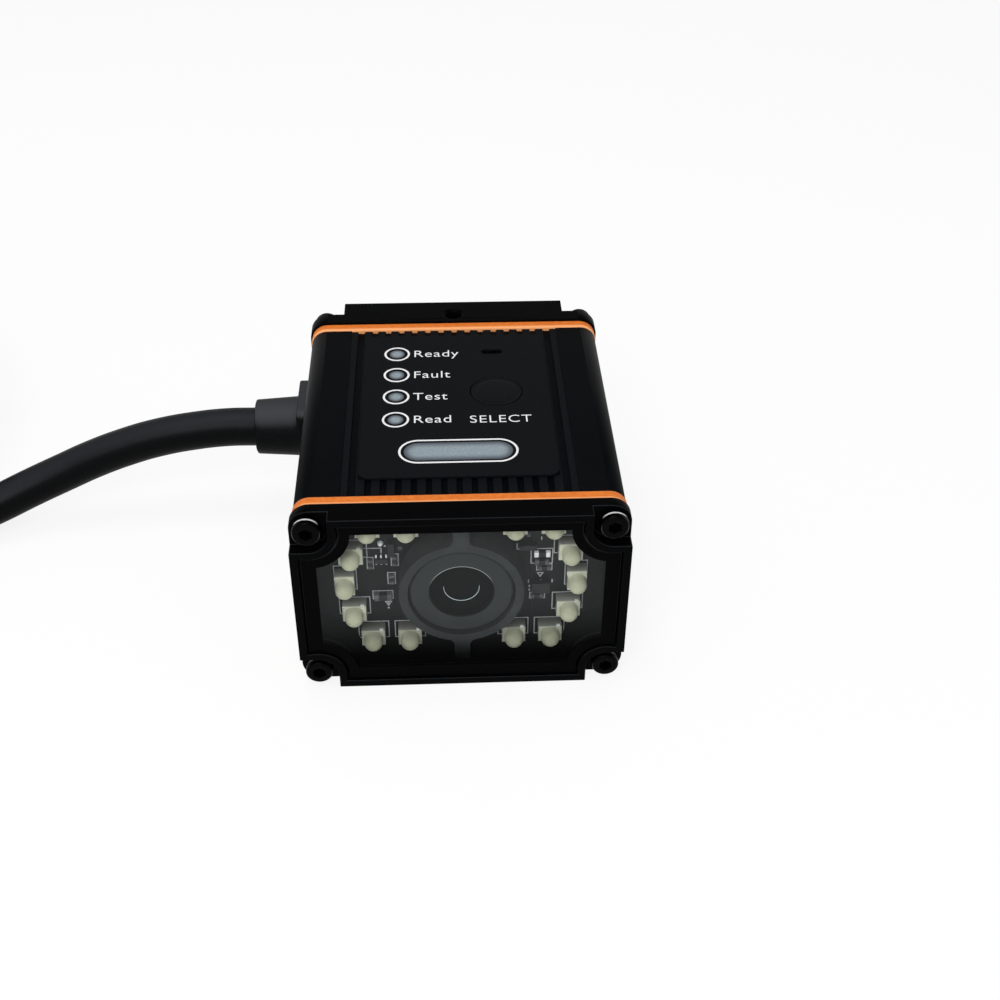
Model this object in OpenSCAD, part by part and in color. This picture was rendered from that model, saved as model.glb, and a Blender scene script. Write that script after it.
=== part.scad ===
// Fixed barcode reader: a ribbed tube housing between two notched covers, with a camera behind the window.
// Millimetres. +Z is up, the window looks along -Y, and the origin is under the middle of the case.

/* [Case] */
// Width of the covers
cover_w = 48; // [46:0.5:60]
// Height of the covers
cover_h = 31.6; // [31:0.2:40]
// Depth of the front cover
front_cover_d = 4.1; // [3.8:0.1:5.5]
// Depth of the rear cover
rear_cover_d = 6.5; // [6:0.1:10]
// Length of the whole case
case_d = 60; // [58.6:0.2:76]
// Thickness of each gasket
gasket_t = 2; // [1.2:0.1:2.6]
// Corner radius of the covers
cover_corner_r = 3; // [1.5:0.1:3.4]
// How far the housing's sides sit inside the covers
housing_inset = 0.4; // [0.2:0.1:0.7]
// How far the gaskets' sides sit inside the covers
gasket_inset = 0.3; // [0.1:0.05:0.4]

/* [Housing section] */
// Wall at the sides and the bottom
wall_t = 1.6; // [1.4:0.1:2]
// Thickness of the top wall over the boards
top_wall_t = 3.2; // [2.9:0.1:3.5]
// Width of the flat ledge on each side of the ribbed channel
ledge_step_w = 1.05; // [0.8:0.05:3]
// How far that ledge lies below the top
ledge_step_d = 0.2; // [0.1:0.05:0.5]
// Depth of the ribbed channel, down to its grooves
channel_d = 0.55; // [0.5:0.05:1]
// Distance from rib to rib
rib_pitch = 2.17; // [1.6:0.01:3]
// Width of a rib
rib_w = 1.3; // [0.7:0.05:1.5]
// Height of a rib
rib_h = 0.4; // [0.2:0.05:0.5]
// Depth of the side slots that carry the boards
slot_d = 0.7; // [0.4:0.1:0.9]

/* [Case screws] */
// Distance of a screw's axis from the two sides of its corner
screw_inset = 2.6; // [2.4:0.1:3]
// Radius of a screw head
screw_head_r = 2; // [1.7:0.05:2.3]
// Height of a screw head
screw_head_h = 1.2; // [0.8:0.1:1.6]
// Radius of a screw's shank
screw_shank_r = 1; // [0.8:0.05:1.2]
// Length of thread that bites into the housing
screw_grip = 6; // [4:0.5:10]
// Room round a screw head in its notch
notch_clear = 1; // [0.6:0.1:1.3]
// Thickness of the front cover under the screw heads
front_flange_t = 1.9; // [1.5:0.1:2.3]
// Thickness of the rear cover under the screw heads
rear_flange_t = 2.9; // [1.5:0.1:3.2]
// Radius of the screw ports inside the housing's corners
port_r = 2.6; // [2.2:0.1:2.8]

/* [Window] */
// Width of the rim round the window
rim_w = 1.2; // [0.9:0.05:1.5]
// Gap between the pane and the rim
pane_gap = 0.25; // [0.1:0.05:0.4]
// How far the pane lies behind the rim
pane_set_back = 0.4; // [0.2:0.1:0.6]
// Thickness of the pane
pane_t = 1; // [0.7:0.1:1.2]
// Thickness of the tape under the pane
seal_t = 0.3; // [0.15:0.05:0.4]
// Width of the ledge that the pane lies on
pane_ledge_w = 1.5; // [1.3:0.05:2.2]

/* [Lamp board] */
// Distance of the lamp board behind the front face
lamp_board_set_back = 6.7; // [6.5:0.1:8]
// Thickness of the lamp board
lamp_board_t = 1.6; // [1.2:0.1:2]
// Width of an LED
led_w = 3.5; // [3:0.1:3.6]
// Height of an LED
led_h = 2.8; // [2.4:0.1:3]
// Thickness of an LED's base
led_base_t = 2; // [1.5:0.1:2.1]
// Radius of an LED's dome
led_dome_r = 1.4; // [1:0.05:1.4]
// Length of the straight part of an LED's dome
led_dome_l = 0.9; // [0.4:0.1:1]
// Distance from an LED to the edge of the board
led_edge = 0.2; // [0.1:0.1:0.6]
// Distance of the inner LEDs of the rows from the middle
led_inner_x = 7.8; // [7.6:0.1:8.6]
// Distance of the outer LEDs of the rows from the middle
led_outer_x = 13.3; // [12.8:0.1:14]
// Distance of the side LEDs from the middle
led_side_x = 15.9; // [15.2:0.1:16.4]
// Distance of the side LEDs above and below the lens axis
led_side_z = 5.45; // [4.8:0.05:5.8]
// Distance of the LEDs beside the lens from the middle
led_mid_x = 17; // [16:0.1:17.4]

/* [Camera] */
// Distance of the lens barrel behind the front face
barrel_set_back = 2.8; // [2.4:0.1:3.6]
// Radius of the lens barrel's head
barrel_r = 7.6; // [7:0.1:7.8]
// Length of the barrel's head
barrel_head_l = 8.2; // [7.6:0.1:8.6]
// Radius of the barrel's thread
barrel_thread_r = 6; // [5.6:0.1:6.2]
// Radius of the front lens
front_lens_r = 4.6; // [4.2:0.1:5]
// Radius of the front lens's curve
front_lens_curve_r = 14; // [10:0.5:18]
// Distance of the light shield behind the front face
shroud_set_back = 2.3; // [2:0.1:3]
// Gap between the light shield and the barrel
shroud_gap = 0.25; // [0.15:0.05:0.4]
// Wall of the light shield
shroud_wall = 1.25; // [0.8:0.05:1.4]
// Width of the light shield's two arms
arm_w = 2.3; // [1.6:0.1:3]
// Radius of the fillets between the arms and the ring
arm_fillet_r = 1.2; // [0.6:0.1:1.4]
// Length of the pillars between the lamp board and the sensor board
pillar_l = 15.7; // [15.3:0.1:17]
// Width of the sensor board
sensor_board_w = 30; // [29:0.5:34]

/* [Label and lamps] */
// Width of the label plate
label_w = 28.9; // [28:0.1:31]
// Length of the label plate
label_l = 39.1; // [38:0.1:42]
// Thickness of the label plate
label_t = 0.4; // [0.3:0.05:0.55]
// How far the label's middle lies behind the housing's middle
label_shift = 0.75; // [0:0.05:2]
// Corner radius of the label plate
label_corner_r = 1.5; // [0.5:0.1:3]
// Gap between the label and the sides of its channel
label_clear = 1.4; // [0.5:0.05:1.6]
// Radius of a status lamp
lamp_r = 1.2; // [0.9:0.05:1.4]
// Distance of the status lamps to the left of the middle
lamp_x = 9.3; // [8.5:0.1:10.5]
// Distance of the rearmost status lamp behind the label's middle
lamp_first_y = 13.9; // [13.6:0.1:15.4]
// Distance from status lamp to status lamp
lamp_pitch = 6.27; // [5.8:0.01:6.6]
// Length of the result lamp
result_w = 16; // [12:0.2:18]
// Width of the result lamp
result_h = 4.4; // [3.6:0.1:5]
// Distance of the result lamp in front of the label's middle
result_y = 13.3; // [12.8:0.1:13.8]
// Length of the sounder's slot
sound_slot_w = 3.4; // [2.4:0.1:4.4]
// Width of the sounder's slot
sound_slot_h = 1.4; // [0.8:0.1:1.8]
// Distance of the slot to the right of the middle
sound_x = 6; // [5:0.1:8]
// Distance of the slot behind the label's middle
sound_y = 14.3; // [13.8:0.1:15]

/* [Key] */
// Radius of the key
key_r = 3.95; // [3.4:0.05:4.2]
// Distance of the key to the right of the middle
key_x = 6.2; // [5.4:0.1:7.4]
// Distance of the key behind the label's middle
key_y = 2.5; // [2:0.1:3]
// Gap round the key
key_clear = 0.15; // [0.1:0.05:0.25]
// Thickness of the key's stop flange
key_flange_t = 0.8; // [0.6:0.05:0.9]
// Width of the key's stop flange
key_flange_w = 0.75; // [0.5:0.05:0.9]
// Height of the switch under the key
switch_h = 1.2; // [1:0.05:1.3]

/* [Mounting] */
// Radius of the two threaded mounting holes
mount_r = 1.25; // [1:0.05:1.7]
// Depth of the mounting holes
mount_depth = 5; // [4:0.5:6]
// Distance of the mounting holes behind the rear gasket
mount_y = 2.4; // [2.2:0.1:3.4]

/* [Cable] */
// Diameter of the cable
cable_d = 6.5; // [5:0.1:7]
// Distance of the boot's flange from the rear end of the housing
boot_edge = 0.3; // [0.1:0.1:2]
// Height of the boot's axis above the lens axis
boot_lift = 0.8; // [0.4:0.1:1.6]
// Length of the boot's flange along the case
boot_flange_l = 11.6; // [10.6:0.1:12]
// Height of the boot's flange
boot_flange_h = 12; // [10.6:0.1:14]
// Thickness of the boot's flange
boot_flange_t = 2.5; // [1.5:0.1:3]
// Length of the boot's sleeve
boot_sleeve_l = 7.2; // [6:0.1:12]
// Radius of the sleeve at the flange
boot_root_r = 5; // [4.6:0.05:5.2]
// Radius of the sleeve at its tip
boot_tip_r = 4.55; // [3.8:0.05:4.6]
// Radius of the boot's neck in the wall
boot_neck_r = 3.9; // [3.4:0.1:4.2]

/* [Hidden] */

$fn = 64;
eps = 0.01;
cut = 1;
small_gap = 0.05;
fit_gap = 0.1;
seat_gap = 0.3;

black_metal = [0.06, 0.065, 0.075];
black_plastic = [0.09, 0.095, 0.11];
board_black = [0.13, 0.14, 0.15];
board_green = [0.08, 0.3, 0.18];
chip_black = [0.08, 0.08, 0.09];
chip_grey = [0.25, 0.3, 0.28];
header_ivory = [0.85, 0.83, 0.76];
plug_metal = [0.75, 0.75, 0.77];
plug_white = [0.92, 0.92, 0.9];
orange = [0.9, 0.48, 0.18];
lamp_grey = [0.55, 0.59, 0.63];
led_cream = [0.78, 0.78, 0.66];
steel = [0.35, 0.35, 0.37];
glass_tint = [0.6, 0.65, 0.68, 0.35];

// Stations along the case, from the front face to the rear face
y_front = -case_d / 2;
y_front_gasket = y_front + front_cover_d;
y_housing = y_front_gasket + gasket_t;
y_rear = case_d / 2;
y_rear_cover = y_rear - rear_cover_d;
y_housing_end = y_rear_cover - gasket_t;
y_label = (y_housing + y_housing_end) / 2 + label_shift;

// The tube's section, measured from the lens axis
axis_z = cover_h / 2;
housing_w = cover_w - 2 * housing_inset;
housing_h = cover_h - 2 * housing_inset;
housing_corner_r = cover_corner_r - housing_inset;
gasket_w = cover_w - 2 * gasket_inset;
gasket_h = cover_h - 2 * gasket_inset;
cavity_w = housing_w - 2 * wall_t;
cavity_top = housing_h / 2 - top_wall_t;
cavity_bottom = wall_t - housing_h / 2;
cavity_corner_r = 1;
channel_w = label_w + 2 * label_clear;
step_w = channel_w + 2 * ledge_step_w;
groove_top = housing_h / 2 - channel_d;
ribs_each_side = floor((channel_w - rib_w) / rib_pitch / 2 + 0.5);

// Screws, notches and the window's outline
screw_x = cover_w / 2 - screw_inset;
screw_z = cover_h / 2 - screw_inset;
notch_r = screw_head_r + notch_clear;
recess_d = pane_set_back + pane_t + seal_t;
y_front_seat = y_front_gasket - front_flange_t;
y_rear_seat = y_rear_cover + rear_flange_t;
screw_hole_spare = 1;
y_pane = y_front + pane_set_back;
y_pane_back = y_pane + pane_t;

// Lamp board on its posts
y_lamp_board = y_front + lamp_board_set_back;
y_lamp_board_back = y_lamp_board + lamp_board_t;
lamp_board_w = cavity_w - 2 * seat_gap;
lamp_board_top = cavity_top - seat_gap;
led_row_z = lamp_board_top - led_edge - led_h / 2;
post_inward = [2.5, 3.6];
post_x = screw_x - post_inward[0];
post_z = screw_z - post_inward[1];
post_r = 1.3;
small_screw_r = 0.7;
small_head_r = 1.25;
small_head_h = 0.8;
small_grip = 2.2;

// Hexagon socket of a screw, as shares of its head
socket_share = 0.52;
socket_floor = 0.4;

// Camera on its pillars
shroud_r = barrel_r + shroud_gap;
shroud_outer_r = shroud_r + shroud_wall;
y_shroud = y_front + shroud_set_back;
y_barrel = y_front + barrel_set_back;
y_barrel_shoulder = y_barrel + barrel_head_l;
y_sensor_board = y_lamp_board_back + pillar_l;
sensor_board_t = 1.2;
board_corner_r = 1;
pillar_x = 12.6;
pillar_r = 1.4;
holder_wall = 1.35;
holder_base_w = 16;
holder_base_t = 3.4;
sensor_w = 8;
sensor_h = 7;
sensor_t = 1.2;
sensor_room = 0.5;
front_lens_t = 3;
front_lens_dip = 0.2;
rear_lens_t = 2;
rear_lens_r = 4.4;
barrel_bore_r = 3.8;
barrel_tail_gap = 0.6;
barrel_chamfer = 0.3;
lens_chamfer = 0.15;
y_tail = y_sensor_board - sensor_t - barrel_tail_gap - holder_base_t / 2;
rear_lens_dip = 0.4;
y_rear_lens = y_tail - rear_lens_dip - rear_lens_t;

// Pocket behind the rear gasket, and the mouth of a mounting hole
pocket_d = 2.5;
pocket_side = 7;
pocket_edge = 6.8;
pocket_corner_r = 2;
mouth_h = 0.4;
y_mount = y_rear_cover + mount_y;

// Label, lamps and key, stacked down from the top
z_wall_under = axis_z + cavity_top;
z_label = axis_z + groove_top + rib_h;
z_label_top = z_label + label_t;
lamp_flange_t = 1.6;
z_lamp_flange = z_wall_under - lamp_flange_t;
lamp_flange_w = 0.6;
z_key_stop = z_wall_under - small_gap;
z_key_bottom = z_key_stop - key_flange_t;
indicator_drop = 2.8;
z_indicator_top = z_wall_under - indicator_drop;
thin_board_t = 1.2;
z_indicator = z_indicator_top - thin_board_t;
indicator_front_gap = 3.2;
indicator_rear_gap = 1.5;
y_indicator = y_lamp_board_back + indicator_front_gap;
y_indicator_end = y_housing_end - indicator_rear_gap;

// Room for the camera under the indicator board, above and below the lens axis
camera_half_h = z_indicator - axis_z - seat_gap;
sensor_board_h = 2 * camera_half_h;
pillar_edge = 0.5;
pillar_z = camera_half_h - pillar_r - pillar_edge;
holder_base_edge = 1;
holder_base_h = 2 * (camera_half_h - holder_base_edge);

// Parts on the indicator board
chip_led = [1.6, 0.8, 0.9];
switch_w = 4.2;
plunger_r = 1;
plunger_sink = 0.5;
sounder_w = 8.5;
sounder_h = 2.5;
sounder_corner_r = 0.6;
sounder_port_r = 1;
sounder_floor_t = 1;
lamp_count = 4;
result_led_pitch = 5;

// Decoder board behind the camera
decoder_lift = 4.4;
z_decoder = axis_z + cavity_bottom + decoder_lift;
z_decoder_top = z_decoder + thin_board_t;
decoder_front_gap = 2.3;
decoder_rear_gap = 1;
y_decoder = y_sensor_board + sensor_board_t + decoder_front_gap;
y_decoder_end = y_housing_end - decoder_rear_gap;

// Cable boot and the loom inside
boot_x = -housing_w / 2;
boot_y = y_housing_end - boot_edge - boot_flange_l / 2;
boot_z = axis_z + boot_lift;
boot_flange_corner_r = 1.6;
boot_lip_t = 1.2;
boot_lip_w = 0.9;
loom_r = 1.7;
loom_lead = 2.5;
loom_bend_r = 3.5;
loom_x = -cavity_w / 2 + boot_lip_t + loom_lead;
header_w = 9;
header_l = 5.5;
loom_drop = 0.6;
header_h = boot_z - loom_bend_r - loom_drop - z_decoder_top;

// Small parts on the lamp board: place from the lens axis, then width, height and thickness
BOARD_PARTS = [
    [-11.6, 3.4, 1.8, 0.8, 0.7], [-13.2, 2.7, 0.7, 1.6, 0.5], [-9.7, 3.2, 0.7, 1.6, 0.5],
    [-10.2, -0.3, 0.8, 1.6, 0.5], [-11.6, -3.5, 2.6, 1.1, 0.8], [-10.1, 5.6, 0.9, 2.4, 0.9],
    [11.9, 3.9, 2.3, 0.8, 0.6], [11.9, 2.3, 2, 0.8, 0.5], [12.3, 1.1, 1.8, 0.7, 0.4],
    [11.8, -2.3, 2.6, 1.9, 0.9], [11.3, -4.3, 1.8, 0.7, 0.4], [9.8, 5.4, 2.6, 0.9, 0.8]
];
// Decoder chips: place on the board from its middle, then width, length and thickness
DECODER_PARTS = [[6, 0, 11, 11, 1.1], [-4, -6, 8, 6, 0.9], [15.5, 5, 6, 5, 0.9], [15.5, -5, 5, 4, 0.8]];

// Cable: its coil, the route to it, and the last turn, which lies on the coil and ends in the plug
coil_x = -132;
coil_y = 22;
coil_inner_turn_r = 29.8;
coil_rows = 3;
coil_layers = 2;
coil_round = 0.45;
cable_sides = 12;
LEAD = [
    [-33.3, 15.4, 16.6], [-38, 15.4, 16.6], [-44, 15.2, 16.1], [-50, 14.9, 15.1], [-55, 14.5, 13.8],
    [-61, 13.8, 11.8], [-66, 13, 9.8], [-72, 11.5, 7.6], [-77, 9.7, 5.9], [-83.9, 6.3, 4.4], [-90.2, 2, 3.4],
    [-96.1, -2.9, 3.25], [-101.7, -8.3, 3.25]
];
plug_l = 20;
plug_w = 15.6;
plug_h = 8;
plug_corner_r = 2;
plug_shell_l = 11.8;
plug_shell_w = 12;
plug_shell_h = 4.5;
plug_shell_t = 0.3;
plug_tongue_h = 1.9;
plug_tongue_dip = 0.6;
plug_lift = 0.2;
plug_z = coil_layers * cable_d + plug_lift + plug_h / 2;
// The last turn: its angles, its radius and height, and where it rises out of the coil, as an angle and a
// height in cable diameters
tail_from = 190;
tail_to = -40;
tail_step = 10;
tail_r = coil_inner_turn_r + (coil_rows - 1) * cable_d;
tail_z = (coil_layers + 0.5) * cable_d;
TAIL_RISE = [[215, 1.7], [202, 2.25]];
// From the last turn into the plug: X, Y and the share of the way up to the plug
TAIL_END = [[-103.2, -9.3, 0.05], [-107.6, -12.1, 0.35], [-112, -13.6, 0.8], [-116, -14, 1]];
function on_coil(angle, z) = [coil_x + tail_r * cos(angle), coil_y + tail_r * sin(angle), z];
TAIL = concat(
    [for (place = TAIL_RISE) on_coil(place[0], place[1] * cable_d)],
    [for (angle = [tail_from:-tail_step:tail_to]) on_coil(angle, tail_z)],
    [for (place = TAIL_END) [place[0], place[1], tail_z + place[2] * (plug_z - tail_z)]]
);
plug_end = TAIL[len(TAIL) - 1];

// Flat shapes
module rounded_rect(w, h, r) {
    square([w - 2 * r, h], center = true);
    square([w, h - 2 * r], center = true);
    for (sx = [-1, 1], sy = [-1, 1])
        translate([sx * (w / 2 - r), sy * (h / 2 - r)]) circle(r);
}

module stadium(w, h) {
    square([w - h, h], center = true);
    for (sx = [-1, 1])
        translate([sx * (w - h) / 2, 0]) circle(d = h);
}

module at_corners(x, z) {
    for (sx = [-1, 1], sz = [-1, 1])
        translate([sx * x, sz * z]) children();
}

// A section in X and Z about the lens axis, drawn out along the case
module along_y(from, to) {
    translate([0, to, axis_z]) rotate([90, 0, 0]) linear_extrude(to - from) children();
}

// A profile of radius and station, turned about the lens axis
module turned_y() {
    translate([0, 0, axis_z]) rotate([-90, 0, 0]) rotate_extrude() children();
}

// A plan in X and Y, drawn up from one height to another
module upright(from, to) {
    translate([0, 0, from]) linear_extrude(to - from) children();
}

// Outline of the four screw notches, open towards the corners of the cover
module notches_2d() {
    reach = screw_inset + cut;
    for (sx = [0, 1], sz = [0, 1])
        mirror([sx, 0]) mirror([0, sz]) translate([screw_x, screw_z]) {
            circle(notch_r);
            translate([-notch_r, 0]) square([notch_r + reach, reach]);
            translate([0, -notch_r]) square([reach, notch_r + reach]);
        }
}

// Outline of the window's recess, drawn in all round by one distance
module window_2d(inset) {
    difference() {
        square([cover_w - 2 * (rim_w + inset), cover_h - 2 * (rim_w + inset)], center = true);
        at_corners(screw_x, screw_z) circle(notch_r + rim_w + inset);
    }
}

// The tube's hollow, with a screw port left standing in each corner
module cavity_2d() {
    difference() {
        translate([0, (cavity_top + cavity_bottom) / 2])
            rounded_rect(cavity_w, cavity_top - cavity_bottom, cavity_corner_r);
        at_corners(screw_x, screw_z) circle(port_r);
    }
}

module board_slot_2d(z) {
    translate([0, z - axis_z + thin_board_t / 2])
        square([cavity_w + 2 * slot_d, thin_board_t + 2 * fit_gap], center = true);
}

module channel_2d() {
    top = housing_h / 2;
    translate([-step_w / 2, top - ledge_step_d]) square([step_w, ledge_step_d + cut]);
    difference() {
        translate([-channel_w / 2, groove_top]) square([channel_w, channel_d + cut]);
        for (i = [0:ribs_each_side - 1], side = [-1, 1])
            translate([side * (i + 0.5) * rib_pitch - rib_w / 2, groove_top - cut])
                square([rib_w, rib_h + cut]);
    }
}

// Openings of the label and of the wall under it, about the label's middle
module label_openings_2d() {
    for (i = [0:lamp_count - 1])
        translate([-lamp_x, lamp_first_y - i * lamp_pitch]) circle(lamp_r + small_gap);
    translate([0, -result_y]) stadium(result_w + 2 * small_gap, result_h + 2 * small_gap);
    translate([sound_x, sound_y]) stadium(sound_slot_w, sound_slot_h);
    translate([key_x, key_y]) circle(key_r + key_clear);
}

// A screw along +Z: its head stands on z = 0 and has a hexagon socket
module socket_screw(head_r, head_h, shank_r, shank_l) {
    difference() {
        union() {
            cylinder(r = head_r, h = head_h);
            translate([0, 0, -shank_l]) cylinder(r = shank_r, h = shank_l + eps);
        }
        translate([0, 0, head_h * socket_floor]) cylinder(r = head_r * socket_share, h = head_h, $fn = 6);
    }
}

// Places a part at four corners about the lens axis, with its +Z towards the front or the rear
module facing_front(x, y, z) {
    for (sx = [-1, 1], sz = [-1, 1])
        translate([sx * x, y, axis_z + sz * z]) rotate([90, 0, 0]) children();
}

module facing_rear(x, y, z) {
    for (sx = [-1, 1], sz = [-1, 1])
        translate([sx * x, y, axis_z + sz * z]) rotate([-90, 0, 0]) children();
}

// Covers, gaskets and housing
module front_cover() {
    color(black_metal)
        difference() {
            union() {
                difference() {
                    along_y(y_front, y_front_gasket) rounded_rect(cover_w, cover_h, cover_corner_r);
                    along_y(y_front - cut, y_front_seat) notches_2d();
                    along_y(y_front - cut, y_front + recess_d) window_2d(0);
                    along_y(y_front, y_front_gasket + cut) window_2d(pane_ledge_w);
                }
                along_y(y_front_gasket - cut, y_lamp_board) at_corners(post_x, post_z) circle(post_r);
            }
            along_y(y_front, y_front_gasket + cut)
                at_corners(screw_x, screw_z) circle(screw_shank_r + fit_gap);
            along_y(y_lamp_board - small_grip - seat_gap, y_lamp_board + cut)
                at_corners(post_x, post_z) circle(small_screw_r + small_gap);
        }
}

module window_pane() {
    color(glass_tint) along_y(y_pane, y_pane_back) window_2d(pane_gap);
}

module window_seal() {
    color(black_plastic)
        along_y(y_pane_back, y_front + recess_d)
            difference() {
                window_2d(pane_gap);
                window_2d(pane_ledge_w);
            }
}

module gasket(from) {
    color(orange)
        along_y(from, from + gasket_t)
            difference() {
                rounded_rect(gasket_w, gasket_h, cover_corner_r - gasket_inset);
                cavity_2d();
                at_corners(screw_x, screw_z) circle(screw_shank_r + fit_gap);
            }
}

module front_gasket() {
    gasket(y_front_gasket);
}

module rear_gasket() {
    gasket(y_housing_end);
}

module main_housing() {
    hole_depth = screw_grip + screw_hole_spare;
    color(black_metal)
        difference() {
            along_y(y_housing, y_housing_end)
                difference() {
                    rounded_rect(housing_w, housing_h, housing_corner_r);
                    cavity_2d();
                    channel_2d();
                    board_slot_2d(z_indicator);
                    board_slot_2d(z_decoder);
                }
            along_y(y_housing - cut, y_housing + hole_depth)
                at_corners(screw_x, screw_z) circle(screw_shank_r + small_gap);
            along_y(y_housing_end - hole_depth, y_housing_end + cut)
                at_corners(screw_x, screw_z) circle(screw_shank_r + small_gap);
            translate([0, y_label, 0]) upright(z_wall_under - cut, z_label + cut) label_openings_2d();
            translate([boot_x - cut, boot_y, boot_z]) rotate([0, 90, 0])
                cylinder(r = boot_neck_r + fit_gap, h = wall_t + 2 * cut);
        }
}

module rear_cover() {
    color(black_metal)
        difference() {
            along_y(y_rear_cover, y_rear) rounded_rect(cover_w, cover_h, cover_corner_r);
            along_y(y_rear_seat, y_rear + cut) notches_2d();
            along_y(y_rear_cover - cut, y_rear_cover + pocket_d)
                rounded_rect(cover_w - 2 * pocket_side, cover_h - 2 * pocket_edge, pocket_corner_r);
            along_y(y_rear_cover - cut, y_rear) at_corners(screw_x, screw_z) circle(screw_shank_r + fit_gap);
            for (side = [0, 1])
                translate([0, y_mount, axis_z]) mirror([0, 0, side]) {
                    translate([0, 0, cover_h / 2 - mount_depth]) cylinder(r = mount_r, h = mount_depth + cut);
                    translate([0, 0, cover_h / 2 - mouth_h])
                        cylinder(r1 = mount_r, r2 = mount_r + mouth_h, h = mouth_h);
                }
        }
}

module front_screws() {
    color(steel)
        facing_front(screw_x, y_front_seat, screw_z)
            socket_screw(screw_head_r, screw_head_h, screw_shank_r, front_flange_t + gasket_t + screw_grip);
}

module rear_screws() {
    color(steel)
        facing_rear(screw_x, y_rear_seat, screw_z)
            socket_screw(screw_head_r, screw_head_h, screw_shank_r, rear_flange_t + gasket_t + screw_grip);
}

module window_board_outline() {
    difference() {
        rounded_rect(lamp_board_w, 2 * lamp_board_top, cavity_corner_r);
        at_corners(screw_x, screw_z) circle(port_r + seat_gap);
    }
}

// Label, lamps and key
module control_label() {
    color(black_plastic)
        translate([0, y_label, 0]) upright(z_label, z_label_top)
            difference() {
                rounded_rect(label_w, label_l, label_corner_r);
                label_openings_2d();
            }
}

module status_light_pipe() {
    rail_w = 2 * (lamp_r + lamp_flange_w);
    row_l = (lamp_count - 1) * lamp_pitch;
    color(lamp_grey)
        translate([-lamp_x, y_label, 0]) {
            for (i = [0:lamp_count - 1])
                translate([0, lamp_first_y - i * lamp_pitch, z_lamp_flange])
                    cylinder(r = lamp_r, h = z_label_top - z_lamp_flange);
            upright(z_lamp_flange, z_wall_under)
                translate([0, lamp_first_y - row_l / 2]) rotate(90) stadium(row_l + rail_w, rail_w);
        }
}

module result_light_pipe() {
    color(lamp_grey)
        translate([0, y_label - result_y, 0]) {
            upright(z_lamp_flange, z_label_top) stadium(result_w, result_h);
            upright(z_lamp_flange, z_wall_under)
                stadium(result_w + 2 * lamp_flange_w, result_h + 2 * lamp_flange_w);
        }
}

module tune_button() {
    color(black_plastic)
        translate([key_x, y_label + key_y, 0]) {
            upright(z_key_bottom, z_label_top) circle(key_r);
            upright(z_key_bottom, z_key_stop) circle(key_r + key_flange_w);
        }
}

module switch_plunger() {
    color(steel)
        translate([key_x, y_label + key_y, 0])
            upright(z_indicator_top + switch_h - plunger_sink, z_key_bottom) circle(plunger_r);
}

module tact_switch() {
    well = plunger_sink + seat_gap;
    color(chip_black)
        translate([key_x, y_label + key_y, z_indicator_top])
            difference() {
                linear_extrude(switch_h) square(switch_w, center = true);
                translate([0, 0, switch_h - well]) cylinder(r = plunger_r + fit_gap, h = well + cut);
            }
}

module indicator_board() {
    color(board_black)
        translate([0, (y_indicator + y_indicator_end) / 2, z_indicator])
            linear_extrude(thin_board_t)
                square([cavity_w + 2 * (slot_d - fit_gap), y_indicator_end - y_indicator], center = true);
}

module chip_at(x, y, size) {
    translate([x - size[0] / 2, y - size[1] / 2, z_indicator_top]) cube(size);
}

module indicator_leds() {
    color(led_cream) {
        for (i = [0:lamp_count - 1])
            chip_at(-lamp_x, y_label + lamp_first_y - i * lamp_pitch, chip_led);
        for (i = [-1:1])
            chip_at(i * result_led_pitch, y_label - result_y, chip_led);
    }
}

module sounder() {
    color(chip_black)
        translate([sound_x, y_label + sound_y, z_indicator_top])
            difference() {
                linear_extrude(sounder_h) rounded_rect(sounder_w, sounder_w, sounder_corner_r);
                translate([0, 0, sounder_floor_t]) cylinder(r = sounder_port_r, h = sounder_h);
            }
}

// Lamp board behind the window
module illumination_board() {
    color(board_black)
        along_y(y_lamp_board, y_lamp_board_back)
            difference() {
                window_board_outline();
                circle(shroud_r);
                at_corners(post_x, post_z) circle(small_screw_r + fit_gap);
            }
}

module led() {
    upright(0, led_base_t) square([led_w, led_h], center = true);
    upright(led_base_t - cut, led_base_t + led_dome_l) circle(led_dome_r);
    translate([0, 0, led_base_t + led_dome_l]) sphere(r = led_dome_r);
}

module illumination_leds() {
    color(led_cream) {
        facing_front(led_inner_x, y_lamp_board, led_row_z) led();
        facing_front(led_outer_x, y_lamp_board, led_row_z) led();
        facing_front(led_side_x, y_lamp_board, led_side_z) led();
        for (sx = [-1, 1])
            translate([sx * led_mid_x, y_lamp_board, axis_z]) rotate([90, 0, 0]) rotate(90) led();
    }
}

module board_components() {
    color(chip_black)
        for (part = BOARD_PARTS)
            along_y(y_lamp_board - part[4], y_lamp_board)
                translate([part[0], part[1]]) square([part[2], part[3]], center = true);
}

module lamp_board_screws() {
    color(steel)
        facing_rear(post_x, y_lamp_board_back, post_z)
            socket_screw(small_head_r, small_head_h, small_screw_r, lamp_board_t + small_grip);
}

// Ring and two arms, with round fillets where they meet
module shroud_2d() {
    arm_low = cover_h / 2 - rim_w - pane_ledge_w - seat_gap;
    fillet_x = arm_w / 2 + arm_fillet_r;
    fillet_z = sqrt(pow(shroud_outer_r + arm_fillet_r, 2) - pow(fillet_x, 2));
    difference() {
        union() {
            circle(shroud_outer_r);
            translate([-arm_w / 2, 0]) square([arm_w, lamp_board_top]);
            translate([-arm_w / 2, -arm_low]) square([arm_w, arm_low]);
            difference() {
                square([2 * fillet_x, 2 * fillet_z], center = true);
                at_corners(fillet_x, fillet_z) circle(arm_fillet_r);
            }
        }
        circle(shroud_r);
    }
}

module lens_shroud() {
    color(black_plastic) along_y(y_shroud, y_lamp_board) shroud_2d();
}

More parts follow.
